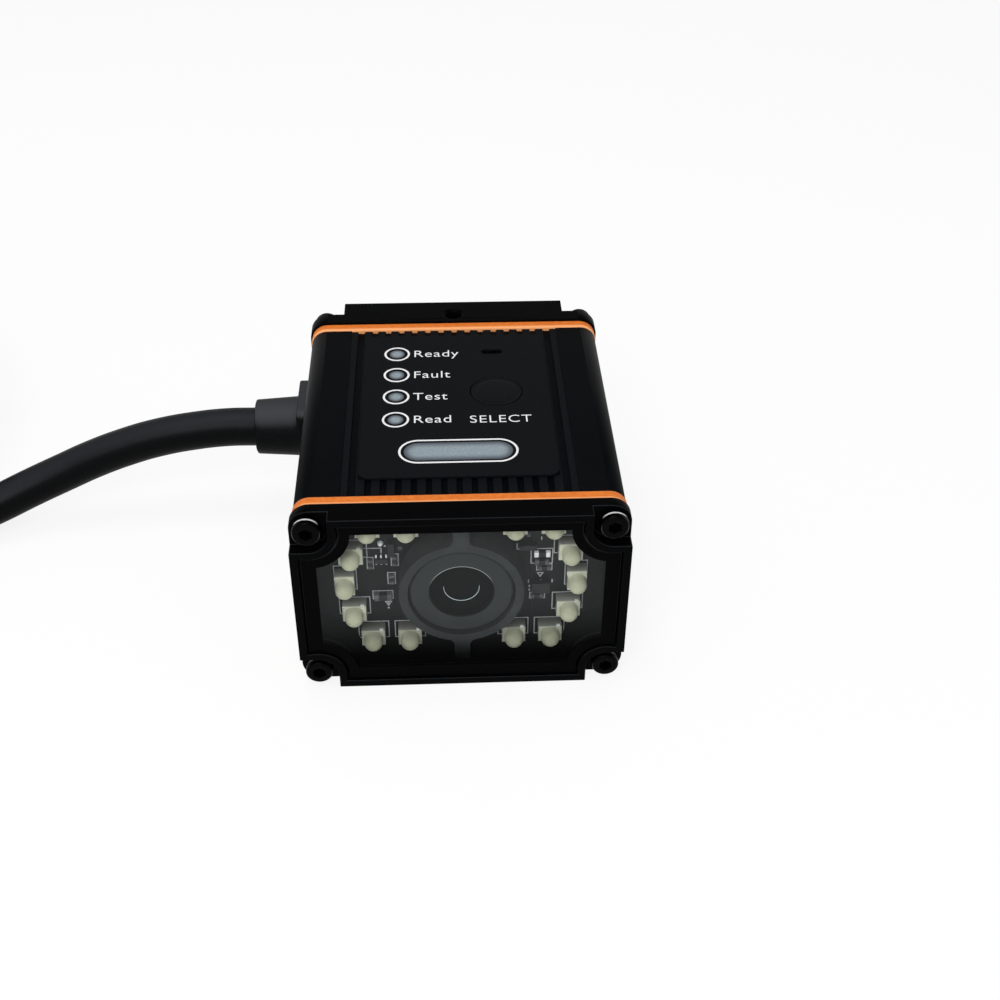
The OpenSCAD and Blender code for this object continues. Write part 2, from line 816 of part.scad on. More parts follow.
// Camera
module lens_barrel() {
    y_seat = y_barrel + front_lens_dip + front_lens_t;
    lens_fit = front_lens_r + small_gap;
    rear_fit = rear_lens_r + small_gap;
    color(black_plastic)
        turned_y() polygon([
            [lens_fit + lens_chamfer, y_barrel],
            [barrel_r - barrel_chamfer, y_barrel],
            [barrel_r, y_barrel + barrel_chamfer],
            [barrel_r, y_barrel_shoulder],
            [barrel_thread_r, y_barrel_shoulder],
            [barrel_thread_r, y_tail],
            [rear_fit, y_tail],
            [rear_fit, y_rear_lens],
            [barrel_bore_r, y_rear_lens],
            [barrel_bore_r, y_seat],
            [lens_fit, y_seat],
            [lens_fit, y_barrel + lens_chamfer]
        ]);
}

// A lens that is flat behind and domed in front
module front_lens() {
    y_top = y_barrel + front_lens_dip;
    color(glass_tint)
        translate([0, y_top, axis_z]) rotate([-90, 0, 0])
            intersection() {
                cylinder(r = front_lens_r, h = front_lens_t);
                translate([0, 0, front_lens_curve_r]) sphere(r = front_lens_curve_r, $fn = 96);
            }
}

module rear_lens() {
    color(glass_tint) along_y(y_rear_lens, y_rear_lens + rear_lens_t) circle(rear_lens_r);
}

module lens_holder() {
    y_holder = y_barrel_shoulder + seat_gap;
    y_base = y_sensor_board - holder_base_t;
    color(black_plastic)
        difference() {
            union() {
                along_y(y_holder, y_sensor_board)
                    intersection() {
                        circle(barrel_thread_r + holder_wall);
                        square([cavity_w, 2 * camera_half_h], center = true);
                    }
                along_y(y_base, y_sensor_board) rounded_rect(holder_base_w, holder_base_h, board_corner_r);
            }
            along_y(y_holder - cut, y_sensor_board - sensor_t - seat_gap) circle(barrel_thread_r + small_gap);
            along_y(y_sensor_board - sensor_t - 2 * seat_gap, y_sensor_board + cut)
                square([sensor_w + 2 * sensor_room, sensor_h + 2 * sensor_room], center = true);
        }
}

module image_sensor() {
    color(chip_grey)
        along_y(y_sensor_board - sensor_t, y_sensor_board) square([sensor_w, sensor_h], center = true);
}

module sensor_board() {
    color(board_black)
        along_y(y_sensor_board, y_sensor_board + sensor_board_t)
            difference() {
                rounded_rect(sensor_board_w, sensor_board_h, board_corner_r);
                at_corners(pillar_x, pillar_z) circle(small_screw_r + fit_gap);
            }
}

module board_pillars() {
    color(steel)
        along_y(y_lamp_board_back, y_sensor_board)
            at_corners(pillar_x, pillar_z)
                difference() {
                    circle(pillar_r);
                    circle(small_screw_r + small_gap);
                }
}

module sensor_board_screws() {
    color(steel)
        facing_rear(pillar_x, y_sensor_board + sensor_board_t, pillar_z)
            socket_screw(small_head_r, small_head_h, small_screw_r, sensor_board_t + small_grip);
}

// Decoder and the cable's inner end
module decoder_board() {
    color(board_green)
        translate([0, (y_decoder + y_decoder_end) / 2, z_decoder])
            linear_extrude(thin_board_t)
                square([cavity_w + 2 * (slot_d - fit_gap), y_decoder_end - y_decoder], center = true);
}

module decoder_chips() {
    color(chip_black)
        translate([0, (y_decoder + y_decoder_end) / 2, z_decoder_top])
            for (part = DECODER_PARTS)
                translate([part[0], part[1], 0])
                    linear_extrude(part[4]) square([part[2], part[3]], center = true);
}

module cable_header() {
    color(header_ivory)
        translate([loom_x + loom_bend_r, boot_y, z_decoder_top])
            linear_extrude(header_h) square([header_w, header_l], center = true);
}

module wire_loom() {
    z_end = z_decoder_top + header_h;
    color(black_plastic) {
        translate([loom_x - loom_lead, boot_y, boot_z]) rotate([0, 90, 0])
            cylinder(r = loom_r, h = loom_lead);
        translate([loom_x, boot_y, boot_z - loom_bend_r]) rotate([90, 0, 0])
            rotate_extrude(angle = 90) translate([loom_bend_r, 0]) circle(loom_r);
        translate([loom_x + loom_bend_r, boot_y, z_end]) cylinder(r = loom_r, h = loom_drop);
    }
}

module cable_boot() {
    color(black_plastic)
        translate([boot_x, boot_y, boot_z]) rotate([0, -90, 0]) {
            linear_extrude(boot_flange_t) rounded_rect(boot_flange_h, boot_flange_l, boot_flange_corner_r);
            translate([0, 0, boot_flange_t])
                cylinder(r1 = boot_root_r, r2 = boot_tip_r, h = boot_sleeve_l);
            translate([0, 0, -wall_t - boot_lip_t]) cylinder(r = boot_neck_r, h = wall_t + boot_lip_t + eps);
            translate([0, 0, -wall_t - boot_lip_t]) cylinder(r = boot_neck_r + boot_lip_w, h = boot_lip_t);
        }
}

// Cable: a tube swept along a route, and the coil of the length that is put away
function unit(v) = v / norm(v);
function heading(path, i) = unit(path[min(i + 1, len(path) - 1)] - path[max(i - 1, 0)]);
function ring(path, i) =
    let (
        ahead = heading(path, i),
        side = unit(cross([0, 0, 1], ahead)),
        up = cross(ahead, side)
    )
    [for (k = [0:cable_sides - 1])
        path[i] + cable_d / 2 * (cos(360 * k / cable_sides) * side + sin(360 * k / cable_sides) * up)];

module tube(path) {
    last = len(path) - 1;
    n = cable_sides;
    points = [for (i = [0:last]) each ring(path, i)];
    walls = [for (i = [0:last - 1], k = [0:n - 1])
        [i * n + k, (i + 1) * n + k, (i + 1) * n + (k + 1) % n, i * n + (k + 1) % n]];
    start = [for (k = [0:n - 1]) k];
    end = [for (k = [n - 1:-1:0]) last * n + k];
    polyhedron(points, concat(walls, [start, end]), convexity = 4);
}

module cable_lead() {
    color(black_plastic) tube(LEAD);
}

module cable_coil() {
    width = coil_rows * cable_d;
    height = coil_layers * cable_d;
    color(black_plastic)
        translate([coil_x, coil_y, 0]) rotate_extrude()
            translate([coil_inner_turn_r - cable_d / 2 + width / 2, height / 2])
                rounded_rect(width, height, coil_round * cable_d);
}

module cable_tail() {
    color(black_plastic) tube(TAIL);
}

// A piece of the plug, along -X from the end of the cable
module on_plug(from, to) {
    translate([plug_end[0] - from, plug_end[1], plug_end[2]]) rotate([0, -90, 0])
        linear_extrude(to - from) rotate(90) children();
}

module plug_overmould() {
    color(black_plastic) on_plug(0, plug_l) rounded_rect(plug_w, plug_h, plug_corner_r);
}

module plug_shell() {
    color(plug_metal)
        on_plug(plug_l, plug_l + plug_shell_l)
            difference() {
                square([plug_shell_w, plug_shell_h], center = true);
                square([plug_shell_w - 2 * plug_shell_t, plug_shell_h - 2 * plug_shell_t], center = true);
            }
}

module plug_tongue() {
    inner_h = plug_shell_h - 2 * plug_shell_t;
    color(plug_white)
        on_plug(plug_l, plug_l + plug_shell_l - plug_tongue_dip)
            translate([0, (inner_h - plug_tongue_h) / 2 - small_gap])
                square([plug_shell_w - 2 * plug_shell_t - 2 * small_gap, plug_tongue_h], center = true);
}

front_cover();
window_pane();
window_seal();
front_gasket();
main_housing();
rear_gasket();
rear_cover();
front_screws();
rear_screws();
control_label();
status_light_pipe();
result_light_pipe();
tune_button();
switch_plunger();
tact_switch();
indicator_board();
indicator_leds();
sounder();
illumination_board();
illumination_leds();
board_components();
lamp_board_screws();
lens_shroud();
lens_barrel();
front_lens();
rear_lens();
lens_holder();
image_sensor();
sensor_board();
board_pillars();
sensor_board_screws();
decoder_board();
decoder_chips();
cable_header();
wire_loom();
cable_boot();
cable_lead();
cable_coil();
cable_tail();
plug_overmould();
plug_shell();
plug_tongue();
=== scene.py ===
# %% [markdown]
# # Dressing a fixed barcode reader
# The frame holds the reader's solids at their real size, in metres. This lesson keeps them where they are,
# gives every surface its finish, adds the small things that show close up, lays the cable at its full length
# and lights the whole for a picture.

# %% Load the frame
import math

import bpy
from mathutils import Matrix, Vector


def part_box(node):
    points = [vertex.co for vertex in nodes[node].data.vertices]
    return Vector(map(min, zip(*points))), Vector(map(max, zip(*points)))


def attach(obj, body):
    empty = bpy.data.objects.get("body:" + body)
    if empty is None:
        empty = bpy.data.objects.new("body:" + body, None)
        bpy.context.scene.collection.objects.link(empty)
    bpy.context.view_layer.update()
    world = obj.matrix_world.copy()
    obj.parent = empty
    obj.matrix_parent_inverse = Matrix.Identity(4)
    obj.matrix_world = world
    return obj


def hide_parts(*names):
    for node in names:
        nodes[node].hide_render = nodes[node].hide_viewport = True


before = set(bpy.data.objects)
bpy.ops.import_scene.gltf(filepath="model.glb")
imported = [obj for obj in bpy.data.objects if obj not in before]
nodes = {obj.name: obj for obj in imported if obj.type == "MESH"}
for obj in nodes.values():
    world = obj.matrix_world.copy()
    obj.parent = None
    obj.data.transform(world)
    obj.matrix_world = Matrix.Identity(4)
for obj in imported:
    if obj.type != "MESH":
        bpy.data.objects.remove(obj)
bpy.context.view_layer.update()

MM = 0.001

# %% [markdown]
# ## The camera
# The picture looks down on the window and the label from the front. The camera could be aimed by eye, but its
# place and turn were worked out from the corners of the case, so they are given as a point and three angles.

# %% Camera
CAMERA_PLACE = Vector((-2.23, -179.53, 149.27)) * MM
CAMERA_PITCH = math.radians(37.43)
CAMERA_YAW = math.radians(2.89)
CAMERA_ROLL = math.radians(-0.5)
CAMERA_LENS = 50.06
CAMERA_SENSOR = 36.0

bpy.ops.object.camera_add()
camera = bpy.context.object
camera.matrix_world = (
    Matrix.Translation(CAMERA_PLACE)
    @ Matrix.Rotation(-CAMERA_YAW, 4, "Z")
    @ Matrix.Rotation(math.pi / 2 - CAMERA_PITCH, 4, "X")
    @ Matrix.Rotation(-CAMERA_ROLL, 4, "Z")
)
camera.data.lens = CAMERA_LENS
camera.data.sensor_width = CAMERA_SENSOR
camera.data.clip_start = 1 * MM
bpy.context.scene.camera = camera
print("camera at", [round(v, 3) for v in camera.location])

# %% [markdown]
# ## The cable
# A 1.5 m lead leaves the boot, sinks to the table and is wound up for storage beyond the picture's edge. It
# could be a row of short pieces, but their joints would show, so it is one curve: points listed where it runs
# free, and a loop for the coil, which winds in, climbs, winds out, climbs again and ends at the plug.

# %% Cable route
CABLE_D = 6.5
COIL_CENTRE = (-132.0, 22.0)
COIL_OUTER_R = 42.8
COIL_START = -45.0
COIL_TURNS = 5.986
COIL_POINTS = 108
STEP_SHARE = 1 / 6
STEPS_IN = (0.667, 1.667)
STEPS_OUT = (3.333, 4.333)
STEPS_UP = (2.5, 5.167)
LEAD = [
    (-33.3, 15.4, 16.6), (-38, 15.4, 16.6), (-44, 15.2, 16.1), (-50, 14.9, 15.1), (-55, 14.5, 13.8),
    (-61, 13.8, 11.8), (-66, 13, 9.8), (-72, 11.5, 7.6), (-77, 9.7, 5.9), (-83.9, 6.3, 4.4), (-90.2, 2, 3.4),
    (-96.1, -2.9, 3.25), (-101.7, -8.3, 3.25),
]
TAIL = [(-103.2, -9.3, 16.3), (-107.6, -12.1, 16.6), (-112, -13.6, 17), (-116, -14, 17.2)]


def eased(turn, start):
    """0 before a step of the coil, 1 after it, and a smooth change between."""
    share = min(1.0, max(0.0, (turn - start) / STEP_SHARE))
    return share * share * (3 - 2 * share)


def coil_point(turn):
    """A point of the coil, so many turns after its start."""
    inward = sum(eased(turn, start) for start in STEPS_IN)
    outward = sum(eased(turn, start) for start in STEPS_OUT)
    radius = COIL_OUTER_R - CABLE_D * (inward - outward)
    angle = math.radians(COIL_START) - 2 * math.pi * turn
    height = CABLE_D * (0.5 + sum(eased(turn, start) for start in STEPS_UP))
    return (COIL_CENTRE[0] + radius * math.cos(angle), COIL_CENTRE[1] + radius * math.sin(angle), height)


coil = [coil_point(COIL_TURNS * i / COIL_POINTS) for i in range(1, COIL_POINTS + 1)]
route = [Vector(point) * MM for point in [*LEAD, *coil, *TAIL]]

cable_curve = bpy.data.curves.new("cable", "CURVE")
cable_curve.dimensions = "3D"
cable_curve.resolution_u = 5
cable_curve.bevel_depth = CABLE_D / 2 * MM
cable_curve.bevel_resolution = 6
cable_curve.use_fill_caps = True
spline = cable_curve.splines.new("BEZIER")
spline.bezier_points.add(len(route) - 1)
for knot, point in zip(spline.bezier_points, route):
    knot.co = point
    knot.handle_left_type = knot.handle_right_type = "AUTO"
cable = bpy.data.objects.new("cable", cable_curve)
bpy.context.scene.collection.objects.link(cable)
chord = sum((b - a).length for a, b in zip(route, route[1:]))
print("cable of", len(route), "points, about", round(chord, 3), "m long")

# %% [markdown]
# ## Tools for modelling
# Every new piece starts as a primitive, is shaped in edit mode and ends with its place in its mesh. Operators
# act on whatever is selected, so these helpers first select one object, then only the faces or edges that a
# test on their place or direction picks out.

# %% Selecting and shaping
TINY = 1e-6


def only(piece):
    """Makes one object the only selected one, and the active one."""
    bpy.ops.object.select_all(action="DESELECT")
    piece.select_set(True)
    bpy.context.view_layer.objects.active = piece


def settle(piece, name=None, place=None, turn=None):
    """Moves and turns an object where that is asked, and puts its place, turn and scale into its mesh."""
    if place is not None:
        piece.location = place
    if turn is not None:
        piece.rotation_euler = turn
    only(piece)
    bpy.ops.object.transform_apply(location=True, rotation=True, scale=True)
    if name:
        piece.name = name
        piece.data.name = name
    return piece


def leave_edit():
    bpy.ops.object.mode_set(mode="OBJECT")


def everything(*_):
    return True


def top_face(centre, normal):
    return normal.z > 0.9


def pick(piece, kind, test):
    """Opens a piece in edit mode with only the faces or edges selected that pass a test."""
    only(piece)
    bpy.ops.object.mode_set(mode="EDIT")
    bpy.ops.mesh.select_mode(type=kind)
    bpy.ops.mesh.select_all(action="DESELECT")
    leave_edit()
    corners = piece.data.vertices
    if kind == "FACE":
        for face in piece.data.polygons:
            face.select = test(face.center, face.normal)
    else:
        for edge in piece.data.edges:
            edge.select = test(*(corners[i].co for i in edge.vertices))
    bpy.ops.object.mode_set(mode="EDIT")


def push(value):
    """Extrudes the selected faces along a vector."""
    bpy.ops.mesh.extrude_region_move(TRANSFORM_OT_translate={"value": value})


def step_in(steps):
    """Insets the selected face step by step, each by its width and its rise in millimetres."""
    for width, height in steps:
        bpy.ops.mesh.inset(thickness=width * MM, depth=height * MM)


def round_edges(piece, width, segments, test=everything):
    """Bevels the edges of a piece that pass a test."""
    pick(piece, "EDGE", test)
    bpy.ops.mesh.bevel(offset=width, segments=segments, affect="EDGES")
    leave_edit()


# %% Primitives, cuts and copies
FACING_FRONT = (math.radians(90), 0, 0)
FACING_REAR = (math.radians(-90), 0, 0)
FACING_UP = (0, 0, 0)


def added(primitive, **settings):
    """Deselects everything, adds a primitive and gives back its object."""
    bpy.ops.object.select_all(action="DESELECT")
    primitive(**settings)
    return bpy.context.object


def add_block(name, low, high):
    """A box between two corners."""
    low, high = Vector(low), Vector(high)
    block = added(bpy.ops.mesh.primitive_cube_add, size=1, location=(low + high) / 2, scale=high - low)
    return settle(block, name)


def add_round(name, radius, height, base=(0, 0, 0), sides=64):
    """An upright cylinder on its base point."""
    middle = Vector(base) + Vector((0, 0, height / 2))
    drum = added(bpy.ops.mesh.primitive_cylinder_add, vertices=sides, radius=radius, depth=height)
    return settle(drum, name, middle)


def add_modifier(piece, kind, **settings):
    """Adds a modifier and sets it."""
    modifier = piece.modifiers.new(kind.lower(), kind)
    for key, value in settings.items():
        setattr(modifier, key, value)
    return modifier


def apply_modifier(piece, kind, **settings):
    """Adds a modifier, sets it and applies it at once."""
    only(piece)
    bpy.ops.object.modifier_apply(modifier=add_modifier(piece, kind, **settings).name)


def combine(piece, tool, operation):
    """Cuts a tool out of a piece, or adds it, and removes the tool."""
    apply_modifier(piece, "BOOLEAN", operation=operation, object=tool, solver="EXACT")
    bpy.data.objects.remove(tool)


def copies(master, name, places):
    """Copies of a piece, each with its own mesh, turn and place. The piece itself is removed."""
    made = []
    for turn, place in places:
        only(master)
        bpy.ops.object.duplicate()
        made.append(settle(bpy.context.object, name, place, turn))
    bpy.data.objects.remove(master)
    return made


def joined(pieces, name):
    """Several pieces as one object."""
    only(pieces[0])
    for piece in pieces:
        piece.select_set(True)
    bpy.ops.object.join()
    return settle(bpy.context.object, name)


def show(piece, material, body="reader", stands_for=(), crease=35):
    """Gives a finished piece its material, its shading and the body that it moves with."""
    piece.data.materials.clear()
    piece.data.materials.append(material)
    only(piece)
    bpy.ops.object.shade_smooth_by_angle(angle=math.radians(crease))
    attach(piece, body)
    if stands_for:
        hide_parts(*stands_for)
    return piece


print("helpers ready")

# %% [markdown]
# ## Tools for finishes
# A finish is a small tree of shader nodes. Adding them one by one hides the sum that they work out, so one
# class wraps an output and lets it be added, multiplied and subtracted like a number. Any other node comes
# from its single method. Patterns read the object's own coordinates, which are metres on the real thing.


# %% Shader expressions
class Wire:
    """An output in a shader tree. Arithmetic on it adds Math nodes."""

    def __init__(self, tree, socket=None):
        self.tree = tree
        self.socket = socket

    def node(self, kind, settings=(), inputs=(), out=0):
        """Any node: its type, settings, the values or wires of its sockets, and the output to use."""
        made = self.tree.nodes.new(kind)
        for key, value in dict(settings).items():
            setattr(made, key, value)
        for key, value in dict(inputs).items():
            if isinstance(value, Wire):
                self.tree.links.new(value.socket, made.inputs[key])
            else:
                made.inputs[key].default_value = value
        return Wire(self.tree, made.outputs[out] if made.outputs else None)

    def math(self, operation, *values):
        return self.node("ShaderNodeMath", {"operation": operation}, enumerate(values))

    def __add__(self, other):
        return self.math("ADD", self, other)

    def __sub__(self, other):
        return self.math("SUBTRACT", self, other)

    def __rsub__(self, other):
        return self.math("SUBTRACT", other, self)

    def __mul__(self, other):
        return self.math("MULTIPLY", self, other)

    def __abs__(self):
        return self.math("ABSOLUTE", self)

    __radd__ = __add__
    __rmul__ = __mul__


def paint(red, green, blue):
    """A screen colour, 0 to 255, as the linear colour that shaders use."""
    def linear(value):
        share = value / 255
        return share / 12.92 if share <= 0.04045 else ((share + 0.055) / 1.055) ** 2.4
    return (linear(red), linear(green), linear(blue), 1.0)


def new_finish(name):
    """An empty material, its tree, and the object's coordinates in it."""
    material = bpy.data.materials.new(name)
    material.use_nodes = True
    material.node_tree.nodes.clear()
    tree = Wire(material.node_tree)
    return material, tree, tree.node("ShaderNodeTexCoord", out="Object")


def close_finish(shader):
    shader.node("ShaderNodeOutputMaterial", inputs={"Surface": shader})


def surface(tree, colour, roughness, specular=0.5, **more):
    """Closes a finish with the main shader. More sockets are named as words joined by underscores."""
    sockets = {"Base Color": colour, "Roughness": roughness, "Specular IOR Level": specular}
    sockets.update((name.replace("_", " "), value) for name, value in more.items())
    close_finish(tree.node("ShaderNodeBsdfPrincipled", inputs=sockets))


def shader_mix(share, first, second):
    """A shader between two."""
    return share.node("ShaderNodeMixShader", inputs={0: share, 1: first, 2: second})


# %% Values, colours and heights
def along(place, axis):
    """One coordinate of a place."""
    return place.node("ShaderNodeSeparateXYZ", inputs={0: place}, out=axis)


def larger(first, second):
    """The larger one of two values."""
    return first.math("MAXIMUM", first, second)


def diagonal(first, second):
    """How long two distances at right angles are together."""
    return first.math("SQRT", first * first + second * second)


def from_nearest(value, first, pitch):
    """How far a value is past the nearest of several marks, a pitch apart."""
    return value.math("WRAP", value - first, pitch / 2, -pitch / 2)


def noise(place, size, detail=2.0):
    """Cloudy noise with grains of about one size, in millimetres."""
    sockets = {"Vector": place, "Scale": 1 / (size * MM), "Detail": detail}
    return place.node("ShaderNodeTexNoise", inputs=sockets)


def rise(value, low, high):
    """0 under low, 1 over high, smooth between."""
    return value.node("ShaderNodeMapRange", {"interpolation_type": "SMOOTHSTEP"},
                      {"Value": value, "From Min": low, "From Max": high})


def band(value, start, full, fade, end):
    """0 before the start, 1 from full to fade, and 0 again past the end."""
    return rise(value, start, full) * (1 - rise(value, fade, end))


def mixed(share, first, second):
    """A colour between two, each one a wire or a screen colour."""
    first, second = (ink if isinstance(ink, Wire) else paint(*ink) for ink in (first, second))
    return share.node("ShaderNodeMix", {"data_type": "RGBA"}, {0: share, 6: first, 7: second}, out=2)


def bumped(height, depth):
    """A normal from a height, with its depth in millimetres."""
    return height.node("ShaderNodeBump", inputs={"Height": height, "Distance": depth * MM, "Strength": 1.0})


print("shader tools ready")

# %% [markdown]
# ## Finishes of the case
# The case is black anodised aluminium, blasted before it was dyed: dark and dull with a fine sparkle, and a
# little paler on the low ledges beside the label. The gaskets are orange silicone, mottled, with a painted
# highlight along their front edge. Each could be one flat colour, but fine noise in colour, roughness and
# height is what tells metal from rubber close up.

# %% Case materials
CLOUD = 14


def grained_finish(name, dark, light, grain, shine, specular, depth, patch=None, patch_colour=None):
    """A dull surface with paler grains, sized and deep in millimetres, and perhaps a patch of colour; some
    finishes use it for painted highlight, sheen and shade.
    """
    material, tree, place = new_finish(name)
    grains = noise(place, grain)
    clouds = noise(place, CLOUD, 3.0)
    colour = mixed(rise(grains, 0.45, 0.75) * 0.7 + clouds * 0.3, dark, light)
    if patch:
        colour = mixed(patch(place), colour, patch_colour)
    surface(tree, colour, clouds * 0.12 + shine, specular, Normal=bumped(grains, depth))
    return material


LEDGE_HALF_W = 16.9 * MM
LEDGE_DROP = 0.2 * MM
LEDGE_BAND = [share * LEDGE_DROP for share in (0.5, 0.7, 1.2, 1.5)]
LEDGE_BLUR = 0.2 * MM
housing_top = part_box("main_housing")[1].z
label_low, label_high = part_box("control_label")
label_middle = (label_low + label_high) / 2
label_half = (label_high - label_low) / 2


def on_ledges(place):
    """1 on the low ledges and the bare rib ends round the label, 0 on the rest of the housing."""
    sideways = abs(along(place, "X"))
    lengthways = abs(along(place, "Y") - label_middle.y)
    level = band(housing_top - along(place, "Z"), *LEDGE_BAND)
    beside = rise(sideways, label_half.x, label_half.x + LEDGE_BLUR)
    beyond = rise(lengthways, label_half.y - 2 * LEDGE_BLUR, label_half.y - LEDGE_BLUR)
    inside = 1 - rise(sideways, LEDGE_HALF_W, LEDGE_HALF_W + LEDGE_BLUR / 4)
    return inside * level * larger(beside, beyond)


def looking_up(place):
    """1 where a surface looks upwards, 0 where it looks sideways or down."""
    return rise(along(place.node("ShaderNodeTexCoord", out="Normal"), "Z"), 0.3, 0.7)


black_anodised = grained_finish("black_anodised", (2, 3, 4), (14, 16, 19), 0.2, 0.42, 0.03, 0.012,
                                on_ledges, (15, 17, 20))
cover_black = grained_finish("cover_black", (1, 1, 2), (8, 9, 10), 0.2, 0.4, 0.02, 0.01)
# Painted highlight: the front cover's bevels are paler where they look up.
painted_edge_highlight = grained_finish("painted_edge_highlight", (3, 3, 4), (12, 13, 14), 0.2, 0.4, 0.02, 0.004,
                           looking_up, (34, 36, 39))
black_foam = grained_finish("black_foam", (3, 3, 4), (7, 7, 8), 0.4, 0.8, 0.02, 0.03)

GASKET_HIGHLIGHT_W = 0.75 * MM
front_low, front_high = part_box("front_gasket")
gasket_half = (front_high.y - front_low.y) / 2
gasket_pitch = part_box("rear_gasket")[0].y - front_low.y

orange_silicone, tree, place = new_finish("orange_silicone")
mottle = noise(place, 0.8) * 0.7 + noise(place, CLOUD, 3.0) * 0.3
off_middle = from_nearest(along(place, "Y"), front_low.y + gasket_half, gasket_pitch)
# Painted highlight: the front edge of each gasket is painted paler.
gasket_highlight = rise(off_middle, GASKET_HIGHLIGHT_W - gasket_half, GASKET_HIGHLIGHT_W / 2 - gasket_half) * 0.8
rubber = mixed(rise(mottle, 0.3, 0.7), (206, 106, 34), (222, 122, 46))
rubber = mixed(gasket_highlight, rubber, (250, 176, 118))
surface(tree, rubber, mottle * 0.12 + 0.5, 0.2, Normal=bumped(mottle, 0.02))
print("case materials:", len(bpy.data.materials))

# %% [markdown]
# ## Edges of the case
# A milled or moulded edge is never a knife edge: it is broken by a tenth of a millimetre or two, and that is
# what catches the light. The solids come as loose triangles, so a Weld joins them before a Bevel rounds them.
# On the front cover the Bevel gives the new faces a second material: a painted highlight where they look up.

# %% Soft edges and case finishes
WELD_REACH = 0.002 * MM
SHARP_FROM = math.radians(40)


def dress(material, *names):
    """Gives solids of the frame their finish."""
    for name in names:
        nodes[name].data.materials.clear()
        nodes[name].data.materials.append(material)


def break_edges(width, *names, edge_highlight=None):
    """Rounds the sharp edges of solids, by a width in millimetres, and may give the new faces a painted
    highlight.
    """
    for name in names:
        add_modifier(nodes[name], "WELD", merge_threshold=WELD_REACH)
        bevel = add_modifier(nodes[name], "BEVEL", width=width * MM, segments=2, limit_method="ANGLE",
                             angle_limit=SHARP_FROM, use_clamp_overlap=False)
        if edge_highlight:
            nodes[name].data.materials.append(edge_highlight)
            bevel.material = 1


dress(black_anodised, "main_housing")
dress(cover_black, "front_cover", "rear_cover")
dress(orange_silicone, "front_gasket", "rear_gasket")
dress(black_foam, "window_seal")
break_edges(0.12, "main_housing", "rear_cover")
break_edges(0.12, "front_cover", edge_highlight=painted_edge_highlight)
break_edges(0.2, "front_gasket", "rear_gasket")
print("case dressed")

# %% [markdown]
# ## Label, lamps and print
# The label is a thin black plate with a fine satin grain. Grey diffusers fill its holes, and white rings are
# printed round them. A shader could paint the print, but thin meshes keep its edges sharp at any distance:
# each ring is a disc, inset by the line's width and left without its middle.

# %% Label material and diffusers
LAMP_COUNT = 4
LAMP_R = 1.2 * MM
BAR_R = 2.2 * MM
BAR_HALF_L = 5.8 * MM
ALONE = 1.0
label_top = label_high.z
rail_low, rail_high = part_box("status_light_pipe")
rail_half = (rail_high.x - rail_low.x) / 2
lamp_x = (rail_low.x + rail_high.x) / 2
first_lamp = rail_high.y - rail_half
lamp_pitch = (rail_high.y - rail_low.y - 2 * rail_half) / (LAMP_COUNT - 1)
lamp_rows = [first_lamp - i * lamp_pitch for i in range(LAMP_COUNT)]
result_low, result_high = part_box("result_light_pipe")
result_y = (result_low.y + result_high.y) / 2

label_film = grained_finish("label_film", (11, 13, 15), (20, 22, 26), 0.12, 0.5, 0.04, 0.004)


def lamp_finish(name, centre_x, first_y, pitch, half_length, radius):
    """A grey diffuser that darkens towards its edge, round points a pitch apart along Y."""
    material, tree, place = new_finish(name)
    past_end = larger(abs(along(place, "X") - centre_x) - half_length, 0.0)
    off_row = from_nearest(along(place, "Y"), first_y, pitch)
    edge = rise(diagonal(past_end, off_row), 0.35 * radius, 1.05 * radius)
    frost = noise(place, 0.3, 4.0)
    ground = mixed(rise(frost, 0.3, 0.75), (128, 140, 147), (146, 158, 165))
    surface(tree, mixed(edge, ground, (72, 78, 86)), frost * 0.2 + 0.3, 0.3)
    return material


dress(label_film, "control_label")
dress(lamp_finish("lamp_diffuser", lamp_x, first_lamp, lamp_pitch, 0.0, LAMP_R), "status_light_pipe")
dress(lamp_finish("bar_diffuser", 0.0, result_y, ALONE, BAR_HALF_L, BAR_R), "result_light_pipe")
break_edges(0.06, "control_label")
print("lamps at", [round(y / MM, 2) for y in lamp_rows], "mm")

# %% Printed rings
PRINT_T = 0.02 * MM
LINE_W = 0.33 * MM
LAMP_RING_R = 2.05 * MM
BAR_RING_W = 17.6 * MM
BAR_RING_H = 5.9 * MM
print_z = label_top + PRINT_T / 2


def speckled_finish(name, dark, light, size, detail, spread, shine, depth=0.0, **sockets):
    """A surface whose colour and roughness vary in specks, with their size and depth in millimetres."""
    material, tree, place = new_finish(name)
    speck = noise(place, size, detail)
    if depth:
        sockets["Normal"] = bumped(speck, depth)
    surface(tree, mixed(speck, dark, light), speck * spread + shine, **sockets)
    return material


def hollow_out(piece, line):
    """Leaves only a line along the rim of a flat piece, and gives it the print's thickness."""
    pick(piece, "FACE", everything)
    bpy.ops.mesh.inset(thickness=line)
    bpy.ops.mesh.delete(type="FACE")
    leave_edit()
    apply_modifier(piece, "SOLIDIFY", thickness=PRINT_T, offset=0.0)
    return piece


def printed_ring(name, radius, stretch):
    """A ring, pulled apart sideways into a long one if it is stretched."""
    disc = added(bpy.ops.mesh.primitive_circle_add, vertices=72, radius=radius, fill_type="NGON")
    ring = settle(disc, name)
    for side in (-1, 1):
        pick(ring, "EDGE", lambda a, b: min(a.x * side, b.x * side) > -TINY)
        bpy.ops.transform.translate(value=(side * stretch / 2, 0, 0))
        leave_edit()
    return hollow_out(ring, LINE_W)


